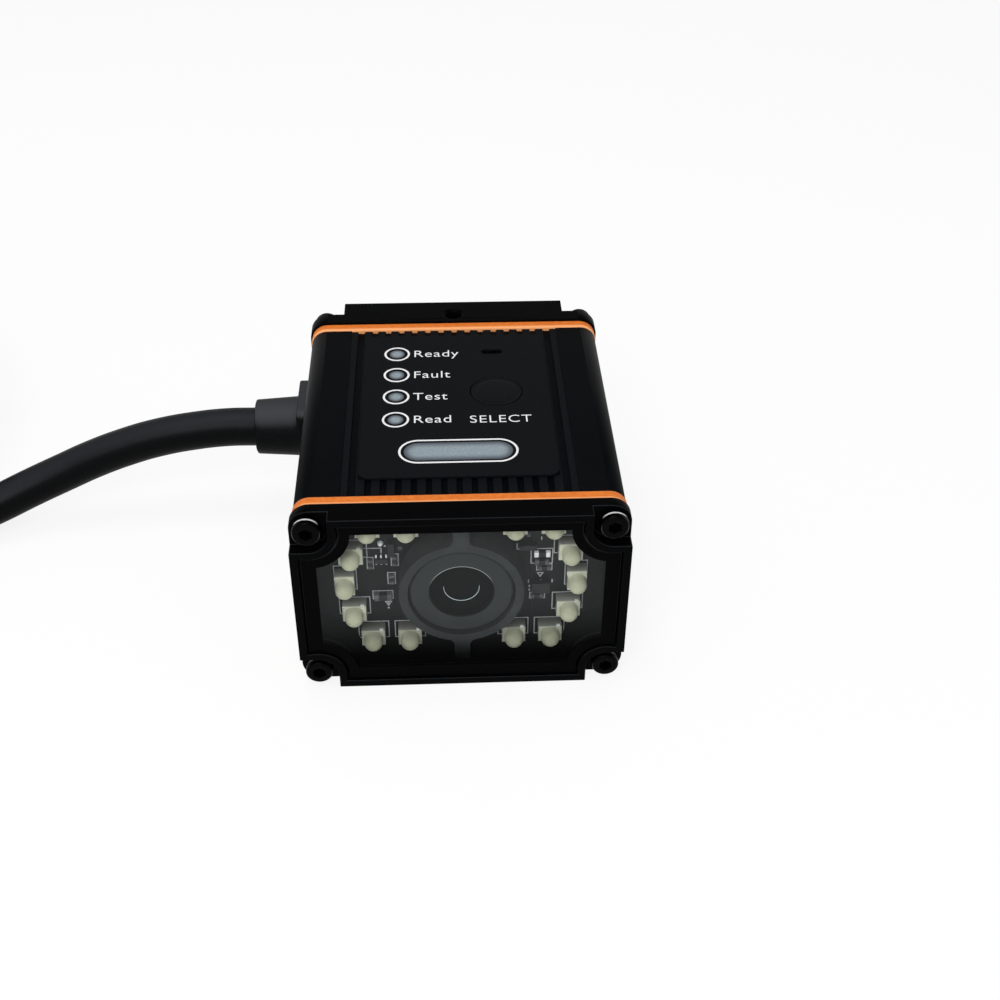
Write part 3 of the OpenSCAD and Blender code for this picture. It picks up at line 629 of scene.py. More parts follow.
white_print = speckled_finish("white_print", (214, 214, 216), (246, 246, 247), 0.3, 3.0, 0.2, 0.4,
                              specular=0.3)
rings = copies(printed_ring("ring_master", LAMP_RING_R, 0.0), "lamp_ring",
               [(FACING_UP, (lamp_x, y, print_z)) for y in lamp_rows])
bar_ring = printed_ring("bar_ring", BAR_RING_H / 2, BAR_RING_W - BAR_RING_H)
rings.append(settle(bar_ring, place=(0, result_y, print_z)))
label_rings = show(joined(rings, "label_rings"), white_print)
print("rings:", len(label_rings.data.polygons), "faces")

# %% [markdown]
# ## Words on the label
# Plain words stand beside the lamps and under the key. A text object is quick to set, and it becomes a mesh
# before it is moved to its place, so that its thickness and outline are kept as geometry.

# %% Words
WORD_X = -6.75 * MM
WORD_SIZE = 2.8 * MM
WORD_DROP = 0.95 * MM
WORD_WEIGHT = -0.004
WORD_SPACING = 1.08
KEY_WORD_CENTRE = (6.55 * MM, -6.55 * MM)
KEY_WORD_SIZE = 2.75 * MM
KEY_WORD_WEIGHT = -0.008
LAMP_WORDS = ("Ready", "Fault", "Test", "Read")


def printed_word(word, size, place, side, weight):
    """One word as a thin mesh, lying on the label."""
    text = added(bpy.ops.object.text_add)
    text.data.body = word
    text.data.size = size
    text.data.align_x = side
    text.data.offset = weight * size
    text.data.space_character = WORD_SPACING
    text.data.extrude = PRINT_T / 2
    bpy.ops.object.convert(target="MESH")
    return settle(bpy.context.object, "word_" + word.lower(), place)


words = [
    printed_word(word, WORD_SIZE, (WORD_X, y - WORD_DROP, print_z), "LEFT", WORD_WEIGHT)
    for word, y in zip(LAMP_WORDS, lamp_rows)
]
words.append(printed_word("SELECT", KEY_WORD_SIZE, (*KEY_WORD_CENTRE, print_z), "CENTER", KEY_WORD_WEIGHT))
label_words = show(joined(words, "label_words"), white_print)
print("words:", len(label_words.data.polygons), "faces")

# %% [markdown]
# ## The key
# The key is a low round pad in the label's own black. It starts as a disc. Insets of its top face make the
# rim, the groove and the pad, and their rise gives a shallow dome that fingers can find.

# %% Key
KEY_R = 3.95 * MM
KEY_FLANGE_T = 0.8 * MM
KEY_STEPS = [(0.3, 0), (0.18, -0.06), (0.18, 0.06), (0.7, 0.05), (1.2, 0.03)]
KEY_ROUND = 0.05 * MM
key_low, key_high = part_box("tune_button")
key_centre = (key_low + key_high) / 2
flange_r = (key_high.x - key_low.x) / 2

key = add_round("key_pad", flange_r, KEY_FLANGE_T, (key_centre.x, key_centre.y, key_low.z))
pick(key, "FACE", top_face)
bpy.ops.mesh.inset(thickness=flange_r - KEY_R)
push((0, 0, key_high.z - key_low.z - KEY_FLANGE_T))
step_in(KEY_STEPS)
leave_edit()
apply_modifier(key, "BEVEL", width=KEY_ROUND, segments=2, limit_method="ANGLE", angle_limit=math.radians(30))
key_black = grained_finish("key_black", (10, 12, 14), (23, 26, 29), 0.3, 0.5, 0.05, 0.02)
show(key, key_black, "button", ["tune_button"])
print("key:", len(key.data.polygons), "faces")

# %% [markdown]
# ## Screws
# Eight black socket screws hold the covers. One is modelled standing up, from a disc: its rim is bevelled,
# its shank drawn out of its underside, and a hexagon cut into its head, which is prouder than the solid's.
# The rest are copies turned to face forwards or backwards. The finish paints the light on the polished rim:
# a painted glint on the upper flank, weaker on the lower screws, and a faint painted reflection round the
# lower half of the face.

# %% Case screws
HEAD_R = 2.0 * MM
HEAD_H = 1.8 * MM
HEAD_ROUND = 0.34 * MM
SOLID_HEAD_H = 1.2 * MM
SHANK_R = 1.0 * MM
SOCKET_R = 0.5 * HEAD_R
SOCKET_FLOOR = 0.35 * HEAD_H
SOCKET_ROUND = 0.08 * MM


def corner_places(node):
    """The axes of four screws at the corners of their node's box, as X and Z."""
    low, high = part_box(node)
    return [(x, z) for x in (low.x + HEAD_R, high.x - HEAD_R) for z in (low.z + HEAD_R, high.z - HEAD_R)]


def socket_screw(name, shank_l):
    """A cheese-headed screw on z = 0, its shank going down."""
    screw = add_round(name, HEAD_R, HEAD_H)
    round_edges(screw, HEAD_ROUND, 5, lambda a, b: min(a.z, b.z) > HEAD_H - TINY)
    pick(screw, "FACE", lambda centre, normal: normal.z < -0.99)
    bpy.ops.mesh.inset(thickness=HEAD_R - SHANK_R)
    push((0, 0, -shank_l))
    leave_edit()
    combine(screw, add_round("socket", SOCKET_R, HEAD_H, (0, 0, SOCKET_FLOOR), 6), "DIFFERENCE")
    round_edges(screw, SOCKET_ROUND, 2, lambda a, b: min(a.z, b.z) > HEAD_H - TINY
                and max(a.xy.length, b.xy.length) < SOCKET_R * 1.04)
    return screw


def from_axes(place, axis_x, pitch_z, first_z):
    """How far a point is from the nearest of some axes that run front to back, and how far above it."""
    sideways = abs(along(place, "X")) - axis_x
    upwards = from_nearest(along(place, "Z"), first_z, pitch_z)
    return diagonal(sideways, upwards), upwards


# %% Screw finish and places
screw_axes = corner_places("front_screws")
screw_x, screw_top = screw_axes[-1]
screw_bottom = screw_axes[0][1]
screw_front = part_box("front_screws")[0].y + SOLID_HEAD_H - HEAD_H

black_screw, tree, place = new_finish("black_screw")
scratch = noise(place, 0.15, 4.0)
off_axis, above = from_axes(place, screw_x, screw_top - screw_bottom, screw_top)
# Painted glint on the upper flank, weaker on the lower screws, and a faint painted reflection ring round the
# lower face.
flank = rise(off_axis, HEAD_R - 0.06 * MM, HEAD_R - 0.02 * MM)
painted_glint = band(along(place, "Y") - screw_front, 0.8 * MM, 0.9 * MM, 1.1 * MM, 1.2 * MM)
painted_glint = painted_glint * flank * rise(above, 0.9 * MM, 1.6 * MM)
painted_glint = painted_glint * (rise(along(place, "Z"), screw_bottom, screw_top) * 0.7 + 0.3)
ring = rise(off_axis, HEAD_R - 0.18 * MM, HEAD_R - 0.12 * MM) * (1 - flank) * rise(above, 0.8 * MM, -0.6 * MM)
oxide_and_glint = mixed(scratch, (1, 1, 1), (5, 5, 6))
oxide_and_glint = mixed(painted_glint + ring * 0.12, oxide_and_glint, (196, 197, 200))
surface(tree, oxide_and_glint, scratch * 0.15 + 0.25, 0.03, Normal=bumped(scratch, 0.004))

for node, turn in (("front_screws", FACING_FRONT), ("rear_screws", FACING_REAR)):
    low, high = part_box(node)
    seat = low.y + SOLID_HEAD_H if turn == FACING_FRONT else high.y - SOLID_HEAD_H
    screws = copies(socket_screw("screw_master", high.y - low.y - SOLID_HEAD_H), "screw",
                    [(turn, (x, seat, z)) for x, z in corner_places(node)])
    show(joined(screws, "socket_" + node), black_screw, stands_for=[node])
    print(node, "seated at", round(seat / MM, 2), "mm")

# %% [markdown]
# ## Window
# The pane is clear and coated, so it mirrors only a little of the floor in front. Real glass would bend light
# and make the inside noisy to render, so the shader mixes a see-through and a mirror by the angle of view.
# For the same reason, the pale veil on it is a faint painted glow, which fades towards the bottom as painted
# shade. The dull black frame round the clear part is a plate with an opening cut into it.

# %% Pane and its printed frame
COATED_CLEAR = 0.5
VEIL_GLOW_STRENGTH = 1.0
VEIL_GLOW_MOST = 0.0115
VEIL_GLOW_LEAST = 0.0005
VEIL_GLOW_FROM = 3 * MM
pane_low, pane_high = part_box("window_pane")
pane_middle = (pane_low + pane_high) / 2


def close_coated(tree, clear, tint, roughness, share):
    """Closes a finish with a clear shader that is partly a mirror where it is seen edge on."""
    edge_on = rise(tree.node("ShaderNodeLayerWeight", out="Facing"), COATED_CLEAR, 1.0) * share
    mirror = tree.node("ShaderNodeBsdfGlossy", inputs={"Color": tint, "Roughness": roughness})
    close_finish(shader_mix(edge_on, clear, mirror))


clear_pane, tree, place = new_finish("clear_pane")
clear_pane.cycles.emission_sampling = "NONE"
# Painted glow for the pale veil, fading towards the bottom as painted shade.
veil_glow_share = rise(along(place, "Z"), pane_low.z + VEIL_GLOW_FROM, pane_middle.z) * VEIL_GLOW_MOST + VEIL_GLOW_LEAST
veil_glow = tree.node("ShaderNodeEmission", inputs={"Color": (0.88, 0.92, 0.93, 1), "Strength": VEIL_GLOW_STRENGTH})
clear = tree.node("ShaderNodeBsdfTransparent", inputs={"Color": (0.97, 0.98, 0.98, 1)})
close_coated(tree, shader_mix(veil_glow_share, clear, veil_glow), (0.88, 0.97, 1, 1), 0.04, 0.4)
dress(clear_pane, "window_pane")

FRAME_T = 0.04 * MM
CLEAR_HALF_W = 20.4 * MM
CLEAR_HALF_H = 12.58 * MM
CLEAR_LIFT = 0.47 * MM
CLEAR_ARC_R = 6.0 * MM
OUTER_ARC_R = 4.5 * MM
CORNER_L = 10 * MM


def window_plate(name, half_w, half_h, arc_r, low_y, high_y, lift=0.0):
    """A plate in the window's outline, with hollow corners round the screws."""
    middle = pane_middle.z + lift
    plate = add_block(name, (-half_w, low_y, middle - half_h), (half_w, high_y, middle + half_h))
    for x, z in screw_axes:
        corner = add_round("corner", arc_r, CORNER_L, sides=96)
        settle(corner, place=(x, high_y + CORNER_L / 2, z), turn=FACING_FRONT)
        combine(plate, corner, "DIFFERENCE")
    return plate


printed_frame = window_plate("window_print", pane_high.x - FRAME_T, (pane_high.z - pane_low.z) / 2 - FRAME_T,
                             OUTER_ARC_R, pane_low.y - FRAME_T, pane_low.y)
opening = window_plate("opening", CLEAR_HALF_W, CLEAR_HALF_H, CLEAR_ARC_R, pane_low.y - MM, pane_low.y + MM,
                       CLEAR_LIFT)
combine(printed_frame, opening, "DIFFERENCE")
frame_ink = grained_finish("frame_ink", (2, 2, 3), (5, 5, 6), 0.3, 0.55, 0.02, 0.002)
show(printed_frame, frame_ink)
print("window print:", len(printed_frame.data.polygons), "faces")

# %% [markdown]
# ## Lamp chamber
# Behind the pane lies a dark chamber. A thin black lining runs round it from the pane back to the board. It
# is painted shade: a dark sheet that keeps the orange out of sight inside, and it also keeps stray light from
# the lens. It is the window's own outline twice: the smaller plate is cut out of the larger one.

# %% Chamber lining
LINING_T = 0.3 * MM
LINING_HALF_W = 21.25 * MM
LINING_HALF_H = 13.05 * MM
LINING_ARC_R = 5.75 * MM
board_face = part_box("illumination_board")[0].y
seal_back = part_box("window_seal")[1].y
# Painted shade: a dark sheet that hides the gasket's orange inside the chamber.
shade_lining = window_plate("chamber_shade_lining", LINING_HALF_W, LINING_HALF_H, LINING_ARC_R, seal_back, board_face)
hollow = window_plate("hollow", LINING_HALF_W - LINING_T, LINING_HALF_H - LINING_T, LINING_ARC_R + LINING_T,
                      seal_back - MM, board_face + MM)
combine(shade_lining, hollow, "DIFFERENCE")
show(shade_lining, black_foam)
print("lining:", len(shade_lining.data.polygons), "faces")

# %% [markdown]
# ## Lamp board
# The board carries fourteen domed LEDs, a few small parts and white printed outlines. One LED is modelled as
# a block with a shallow cup, with a ball set into it whose lower half is drawn down into a tube. The rest are
# copies. The colour follows the depth: grey sides, a pale rim and yellowish resin. Painted light keeps the
# resin pale next to the cup against the cover's shade, and painted shade darkens the LEDs low in the chamber.

# %% Board, shield and lens finishes
FOOT_SHADE_LOW = 12 * MM
FOOT_SHADE_TOP = 7.5 * MM
axis_z = pane_middle.z


def board_finish(name, ground, trace):
    """Solder mask with faint copper tracks under it."""
    material, tree, place = new_finish(name)
    tracks = tree.node("ShaderNodeTexBrick", {"offset": 0.37}, {
        "Vector": place, "Scale": 1 / (5 * MM), "Mortar Size": 0.03, "Mortar Smooth": 0.4,
        "Brick Width": 1.3, "Row Height": 0.6,
    }, out="Fac")
    clouds = noise(place, 3)
    colour = mixed(tracks * 0.6 + clouds * 0.3, ground, trace)
    surface(tree, colour, clouds * 0.2 + 0.35, 0.12, Normal=bumped(tracks, 0.02))
    return material


def foot_painted_shade(place):
    """1 at the foot of the lens shield, where shade is painted, 0 from the ring upwards."""
    return 1 - rise(along(place, "Z"), axis_z - FOOT_SHADE_LOW, axis_z - FOOT_SHADE_TOP)


board_black = board_finish("board_black", (13, 15, 16), (29, 32, 33))
board_green = board_finish("board_green", (20, 62, 40), (38, 96, 62))
chip_black = grained_finish("chip_black", (22, 23, 24), (38, 39, 40), 0.2, 0.45, 0.3, 0.01)
# Painted shade darkens the foot of the lens shield below the ring.
shield_black = grained_finish("shield_black", (45, 47, 48), (52, 55, 56), 3, 0.6, 0.08, 0.003,
                              foot_painted_shade, (8, 9, 9))
# Painted glint: bright solder and leads take a pale colour where solder would shine.
solder_painted_glint = speckled_finish("solder_painted_glint", (206, 208, 208), (244, 245, 245), 0.4, 2.0, 0.25, 0.25,
                                Metallic=0.1)
dress(board_black, "illumination_board", "sensor_board", "indicator_board")
dress(board_green, "decoder_board")
dress(chip_black, "board_components", "decoder_chips", "sounder", "tact_switch", "image_sensor")
dress(shield_black, "lens_shroud")
print("board face at", round(board_face / MM, 2), "mm")

# %% LED resin
LED_W, LED_H, LED_BASE_T = 3.5 * MM, 2.8 * MM, 2.0 * MM
LED_DOME_R = 1.38 * MM
LED_DOME_L = 0.9 * MM
LED_SHADE = 0.34
LED_SHADE_TOP, LED_SHADE_LOW = 4 * MM, 10 * MM
led_front = board_face - LED_BASE_T

led_resin, tree, place = new_finish("led_resin")
depth = along(place, "Y")
resin = noise(place, 0.6, 3.0)
side = mixed(rise(depth, board_face - 0.2 * MM, led_front), (104, 103, 97), (156, 156, 148))
base = mixed(rise(depth, led_front + 0.3 * MM, led_front + 0.1 * MM), side, (204, 204, 186))
tip = mixed(resin, (174, 174, 150), (188, 188, 164))
# Painted light: the resin next to the cup is lifted against the cover's shade.
resin_painted_light = mixed(rise(depth, led_front, led_front - 1.5 * LED_DOME_R), (202, 202, 178), tip)
lit = mixed(rise(depth, led_front - 0.06 * MM, led_front - 0.16 * MM), base, resin_painted_light)
# Painted shade: the LEDs low in the chamber are darkened.
in_shade = rise(along(place, "Z"), axis_z - LED_SHADE_TOP, axis_z - LED_SHADE_LOW) * LED_SHADE
surface(tree, mixed(in_shade, lit, (0, 0, 0)), resin * 0.15 + 0.35, 0.15,
        Subsurface_Weight=0.8, Subsurface_Radius=(1, 1, 1), Subsurface_Scale=0.6 * MM)
print("LED front at", round(led_front / MM, 2), "mm")

# %% LEDs
LED_QUARTER = [(7.8, 10.4), (13.3, 10.4), (15.9, 5.45)]
LED_MIDDLE = 17.0
LED_CUP = [(0.05, 0.05), (0.1, -0.12)]
TAB_LEFT, TAB_RIGHT = 0.95 * MM, 1.5 * MM
TAB_LOW, TAB_TOP = LED_BASE_T - 0.55 * MM, LED_BASE_T - 0.05 * MM
TAB_HALF_T = 0.1 * MM
TAB_ROUND = 0.05 * MM
FACING_FRONT_ON_END = (math.radians(90), math.radians(-90), 0)
led_places = [(sx * x, sz * z, FACING_FRONT) for x, z in LED_QUARTER for sx in (-1, 1) for sz in (-1, 1)]
led_places += [(sx * LED_MIDDLE, 0, FACING_FRONT_ON_END) for sx in (-1, 1)]

led_master = add_block("led_master", (-LED_W / 2, -LED_H / 2, 0), (LED_W / 2, LED_H / 2, LED_BASE_T))
pick(led_master, "FACE", top_face)
step_in(LED_CUP)
leave_edit()
dome_z = LED_BASE_T + LED_DOME_L
dome = settle(added(bpy.ops.mesh.primitive_uv_sphere_add, segments=32, ring_count=20, radius=LED_DOME_R,
                    location=(0, 0, dome_z)), "dome")
pick(dome, "EDGE", lambda a, b: max(a.z, b.z) < dome_z - TINY)
bpy.ops.transform.translate(value=(0, 0, -LED_DOME_L))
leave_edit()
combine(led_master, dome, "UNION")
lead_master = add_block("lead_master", (TAB_LEFT, LED_H / 2 - TAB_HALF_T, TAB_LOW),
                        (TAB_RIGHT, LED_H / 2 + TAB_HALF_T, TAB_TOP))
round_edges(lead_master, TAB_ROUND, 2)


def at_board(x, z, out=0.0):
    """A point so far from the lens axis and in front of the board's face, in millimetres."""
    return (x * MM, board_face - out * MM, axis_z + z * MM)


def on_board(piece, name):
    """Copies of a piece at every LED's place, as one object."""
    return joined(copies(piece, name, [(turn, at_board(x, z)) for x, z, turn in led_places]), name)


led_array = show(on_board(led_master, "led_array"), led_resin, stands_for=["illumination_leds"])
show(on_board(lead_master, "led_leads"), solder_painted_glint)
print("LEDs:", len(led_places), "with", len(led_array.data.polygons), "faces")

# %% [markdown]
# ## Marks on the board
# White outlines are printed round each LED and small part, with gaps, arrows and dots where the pads are. An
# outline is a flat plate, inset by the line's width and left without its middle, as the lamp rings are.

# %% Board print
SILK_W = 0.16 * MM
DOT_R = 0.17
LED_MARK = (4.7, 3.4)
OUTLINES = [
    (-13.24, 2.7, 1.05, 2.3, 0), (-9.65, 3.2, 1.18, 2.35, 0), (-10.23, -0.28, 1.26, 2.28, 0),
    (-11.63, -3.5, 3.12, 1.72, 1.5), (11.86, 3.3, 3.3, 2.9, 2.1), (12.28, 1.14, 2.39, 1.3, 0.7),
    (11.34, -4.32, 2.36, 1.3, 0.6),
]
STROKES = [
    (-12.74, 5.46, 2.65, 0.16), (-11.55, 4.95, 0.16, 0.95), (-10.86, -4.84, 1.04, 0.42),
    (10, -1.54, 0.17, 0.63), (10.14, -2.48, 0.24, 0.38), (10.14, -3.19, 0.2, 0.52), (13.5, -1.54, 0.2, 0.7),
    (8.2, 5.2, 0.15, 1.05), (8.72, 4.67, 1.1, 0.15), (11.76, 6.6, 0.18, 0.6),
]
ARROWS = [(-10.88, -5.36, 0.42), (11.7, -0.16, 0.62)]
DOTS = [(-10.9, -6.1), (11.82, -1.46), (-10.98, 5.84)]


def on_face(piece, x, z):
    """Turns a flat piece to the front and lays it on the board's face."""
    return settle(piece, None, at_board(x, z, PRINT_T / 2 / MM), FACING_FRONT)


def flat_plate(w, h):
    plate = added(bpy.ops.mesh.primitive_plane_add, size=1)
    plate.scale = (w * MM, h * MM, 1)
    return settle(plate)


def outline(x, z, w, h, gap=0):
    """A printed frame, with a gap in the middle of its lower side."""
    line = hollow_out(flat_plate(w, h), SILK_W)
    if gap:
        cutter = add_block("gap", (-gap / 2 * MM, -h * MM, -MM), (gap / 2 * MM, 0, MM))
        combine(line, cutter, "DIFFERENCE")
    return on_face(line, x, z)


def stroke(x, z, w, h):
    """A short printed line."""
    line = flat_plate(w, h)
    apply_modifier(line, "SOLIDIFY", thickness=PRINT_T, offset=0.0)
    return on_face(line, x, z)


def pointed(x, z, size, corners):
    """A printed triangle that points down, or a dot if it has many corners."""
    shape = added(bpy.ops.mesh.primitive_circle_add, vertices=corners, radius=size * MM, fill_type="NGON",
                  rotation=(0, 0, math.pi))
    return on_face(hollow_out(settle(shape), SILK_W), x, z)


marks = [outline(x, z, *(LED_MARK if turn == FACING_FRONT else LED_MARK[::-1])) for x, z, turn in led_places]
marks += [outline(*place) for place in OUTLINES]
marks += [stroke(*place) for place in STROKES]
marks += [pointed(*place, 3) for place in ARROWS]
marks += [pointed(*place, DOT_R, 16) for place in DOTS]
board_print = grained_finish("board_print", (146, 148, 148), (182, 184, 184), 0.3, 0.5, 0.2, 0.002)
show(joined(marks, "board_marks"), board_print)
print("marks:", len(marks))

# %% [markdown]
# ## Solder
# Small parts end in solder, dull on most and bright on one, the driver chip stands on six pins, and a few
# joints show as round drops. The bright solder, the pins, one drop and the LED leads carry a painted glint
# in their pale colour. A cap is a block with its front edges broken. A drop is a flattened ball cut in half
# at the board.

# %% Solder caps, pins and drops
BRIGHT_CAPS = [(11.9, 3.9, 2.3, 0.8, 0.6)]
DULL_CAPS = [
    (-13.2, 2.7, 0.7, 1.6, 0.5), (-9.7, 3.2, 0.7, 1.6, 0.5), (-10.2, -0.3, 0.8, 1.6, 0.5),
    (-11.6, -3.5, 2.6, 1.1, 0.8), (11.9, 2.3, 2, 0.8, 0.5), (12.3, 1.1, 1.8, 0.7, 0.4),
    (11.3, -4.3, 1.8, 0.7, 0.4),
]
PIN_X, PIN_PITCH, PIN_W, PIN_T = -11.6, 0.74, 0.26, 0.3
PIN_ROWS = [(3.85, 0.75), (2.82, 0.55)]
BRIGHT_DROPS = [(-11.6, 6.4, 0.45, 0.6)]
DULL_DROPS = [(-8.77, 5.32, 0.4, 0.25), (9.82, 7.36, 0.42, 0.35)]
DROP_SINK = 0.01
CAP_SHARE = 0.26
CAP_PROUD = 0.03
CAP_ROUND = 0.06 * MM


def solder_block(x, z, w, h, t):
    """A block on the board with its front edges broken, in millimetres."""
    cap = add_block("cap", at_board(x - w / 2, z - h / 2, t), at_board(x + w / 2, z + h / 2))
    round_edges(cap, CAP_ROUND, 2, lambda a, b: max(a.y, b.y) < board_face - t * MM + TINY)
    return cap


def solder_ends(x, z, w, h, t):
    """Two caps over the ends of a small part, along its longer side."""
    reach = CAP_SHARE * max(w, h)
    across_x, across_z = (w - reach, 0) if w > h else (0, h - reach)
    return [
        solder_block(x + side * across_x / 2, z + side * across_z / 2, w - across_x + 2 * CAP_PROUD,
                     h - across_z + 2 * CAP_PROUD, t + CAP_PROUD)
        for side in (-1, 1)
    ]


def solder_drop(x, z, radius, height):
    """Half a flattened ball on the board, in millimetres."""
    drop = added(bpy.ops.mesh.primitive_uv_sphere_add, segments=20, ring_count=12, radius=1)
    drop.scale = (radius * MM, height * MM, radius * MM)
    settle(drop, place=at_board(x, z, -DROP_SINK))
    pick(drop, "FACE", everything)
    bpy.ops.mesh.bisect(plane_co=(0, board_face, 0), plane_no=(0, 1, 0), clear_outer=True, use_fill=True,
                        threshold=TINY)
    leave_edit()
    return drop


dull_tin = grained_finish("dull_tin", (64, 66, 66), (104, 106, 106), 0.4, 0.4, 0.3, 0.01)
dull = [cap for place in DULL_CAPS for cap in solder_ends(*place)]
dull += [solder_drop(*place) for place in DULL_DROPS]
show(joined(dull, "part_ends"), dull_tin)
solder = [cap for place in BRIGHT_CAPS for cap in solder_ends(*place)]
for z, h in PIN_ROWS:
    solder += [solder_block(PIN_X + i * PIN_PITCH, z, PIN_W, h, PIN_T) for i in (-1, 0, 1)]
solder += [solder_drop(*place) for place in BRIGHT_DROPS]
show(joined(solder, "solder_joints"), solder_painted_glint)
print("solder joints:", len(solder), "bright,", len(dull), "dull")

# %% [markdown]
# ## Lens
# The front lens is a coated dome that looks nearly black. Inside it sits a stop ring whose sloping edge faces
# forwards and inwards, and a painted highlight makes that edge pale on its lower half only. The ring is a
# disc: one inset makes the sloping edge, and the rest of the middle is pushed back into a shallow well.

# %% Lens glass and barrel
RIM_HIGHLIGHT_W = 0.07 * MM
SEAT_GAP = 0.2 * MM
lens_low, lens_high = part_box("front_lens")
lens_r = (lens_high.x - lens_low.x) / 2
seat_r = lens_r + SEAT_GAP

lens_glass, tree, place = new_finish("lens_glass")
clear = tree.node("ShaderNodeBsdfTransparent", inputs={"Color": (0.8, 0.86, 0.87, 1)})
close_coated(tree, clear, (0.8, 0.95, 0.9, 1), 0.05, 0.3)
dress(lens_glass, "front_lens", "rear_lens")

barrel_black, tree, place = new_finish("barrel_black")
off_axis, above = from_axes(place, 0.0, ALONE, axis_z)
# Painted highlight: a pale arc on the top of the rim round the lens seat.
outside = rise(off_axis, seat_r - 0.02 * MM, seat_r)
rim_highlight = outside * (1 - rise(off_axis, seat_r + RIM_HIGHLIGHT_W, seat_r + RIM_HIGHLIGHT_W + 0.03 * MM))
rim_highlight = rim_highlight * rise(above, 1.2 * MM, 3.6 * MM)
turned = noise(place, 4)
face = mixed(turned, (40, 43, 44), (47, 50, 51))
dark = mixed(outside, (5, 6, 6), face)
surface(tree, mixed(rim_highlight, dark, (156, 160, 160)), turned * 0.1 + 0.5, 0.08)
dress(barrel_black, "lens_barrel", "lens_holder")
print("lens front at", round(lens_low.y / MM, 2), "mm")

# %% Stop ring
STOP_DEPTH = 1.15 * MM
STOP_T = 0.9 * MM
STOP_GAP = 0.1 * MM
STOP_EDGE_R = 2.62 * MM
STOP_EDGE_W = 0.07 * MM
STOP_WELL = 0.49 * MM
STOP_FLOOR = [(1.2, 0.1)]
stop_r = lens_r - STOP_GAP
stop_inner = STOP_EDGE_R - STOP_EDGE_W
stop_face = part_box("lens_barrel")[0].y + STOP_DEPTH

stop_black, tree, place = new_finish("stop_black")
off_axis, above = from_axes(place, 0.0, ALONE, axis_z)
# Painted highlight: the stop's sloping edge is pale on its lower half only.
edge = band(off_axis, stop_inner + 0.01 * MM, stop_inner + 0.03 * MM, STOP_EDGE_R, STOP_EDGE_R + 0.03 * MM)
ground = edge * rise(above, 0.5 * MM, -0.2 * MM)
soot = noise(place, 4)
dark = mixed(soot, (5, 6, 6), (7, 8, 8))
surface(tree, mixed(ground, dark, (240, 242, 242)), soot * 0.1 + 0.5, 0.03)

stop = add_round("lens_stop", stop_r, STOP_T, sides=96)
pick(stop, "FACE", top_face)
bpy.ops.mesh.inset(thickness=stop_r - STOP_EDGE_R)
bpy.ops.mesh.inset(thickness=STOP_EDGE_W, depth=-STOP_EDGE_W)
push((0, 0, STOP_EDGE_W - STOP_WELL))
step_in(STOP_FLOOR)
leave_edit()
settle(stop, place=(0, stop_face + STOP_T, axis_z), turn=FACING_FRONT)
show(stop, stop_black)
print("stop ring:", len(stop.data.polygons), "faces")

# %% [markdown]
# ## Inner pieces
# Most of the inside never shows, but the window lets a little of it be seen and other views may open it up.
# Each piece takes a finish of its kind: brass pillars, plain steel screws and plunger, and an ivory header.


# %% Inner finishes
def metal_finish(name, dark, light, shine):
    """Bare metal with faint turning marks."""
    return speckled_finish(name, dark, light, 0.2, 4.0, 0.2, shine, 0.004, Metallic=1.0)


pillar_brass = metal_finish("pillar_brass", (150, 122, 60), (196, 166, 96), 0.28)
small_steel = metal_finish("small_steel", (120, 122, 125), (170, 172, 175), 0.3)
plug_metal = metal_finish("plug_metal", (176, 178, 181), (214, 216, 218), 0.22)
header_ivory = grained_finish("header_ivory", (212, 207, 190), (228, 224, 208), 0.5, 0.4, 0.4, 0.01)
dress(pillar_brass, "board_pillars")
dress(small_steel, "lamp_board_screws", "sensor_board_screws", "switch_plunger")
dress(header_ivory, "cable_header", "plug_tongue")
dress(led_resin, "indicator_leds")
dress(plug_metal, "plug_shell")
print("inner pieces dressed")

# %% [markdown]
# ## Cable, boot, tie and plug
# The jacket is soft black plastic and the boot a duller rubber, both with a painted sheen where they turn to
# the light. A strap of black tape holds the coil, and the plug's grip has shallow grooves. The strap is a
# block with its two ends inset and bridged into a tunnel for the bundle.

# %% Jacket and boot
LAMP_HIGH, LAMP_NEAR = 0.94, 0.34
SHEEN_FROM = 0.72


def painted_sheen(place):
    """Painted sheen: 1 where a round surface turns to the soft light above the camera, 0 where it turns away.
    """
    normal = place.node("ShaderNodeTexCoord", out="Normal")
    return rise(along(normal, "Z") * LAMP_HIGH - along(normal, "Y") * LAMP_NEAR, SHEEN_FROM, 1.0)


# Painted sheen on the jacket, the boot and the plug's grip, where they turn to the lamp.
cable_jacket = grained_finish("cable_jacket", (3, 4, 5), (8, 9, 10), 0.3, 0.36, 0.05, 0.01,
                              painted_sheen, (36, 38, 41))
boot_rubber = grained_finish("boot_rubber", (3, 4, 5), (12, 13, 15), 0.4, 0.4, 0.05, 0.02,
                             painted_sheen, (58, 60, 63))
dress(cable_jacket, "wire_loom")
dress(boot_rubber, "cable_boot")
break_edges(0.25, "cable_boot")
print("jacket and boot dressed")

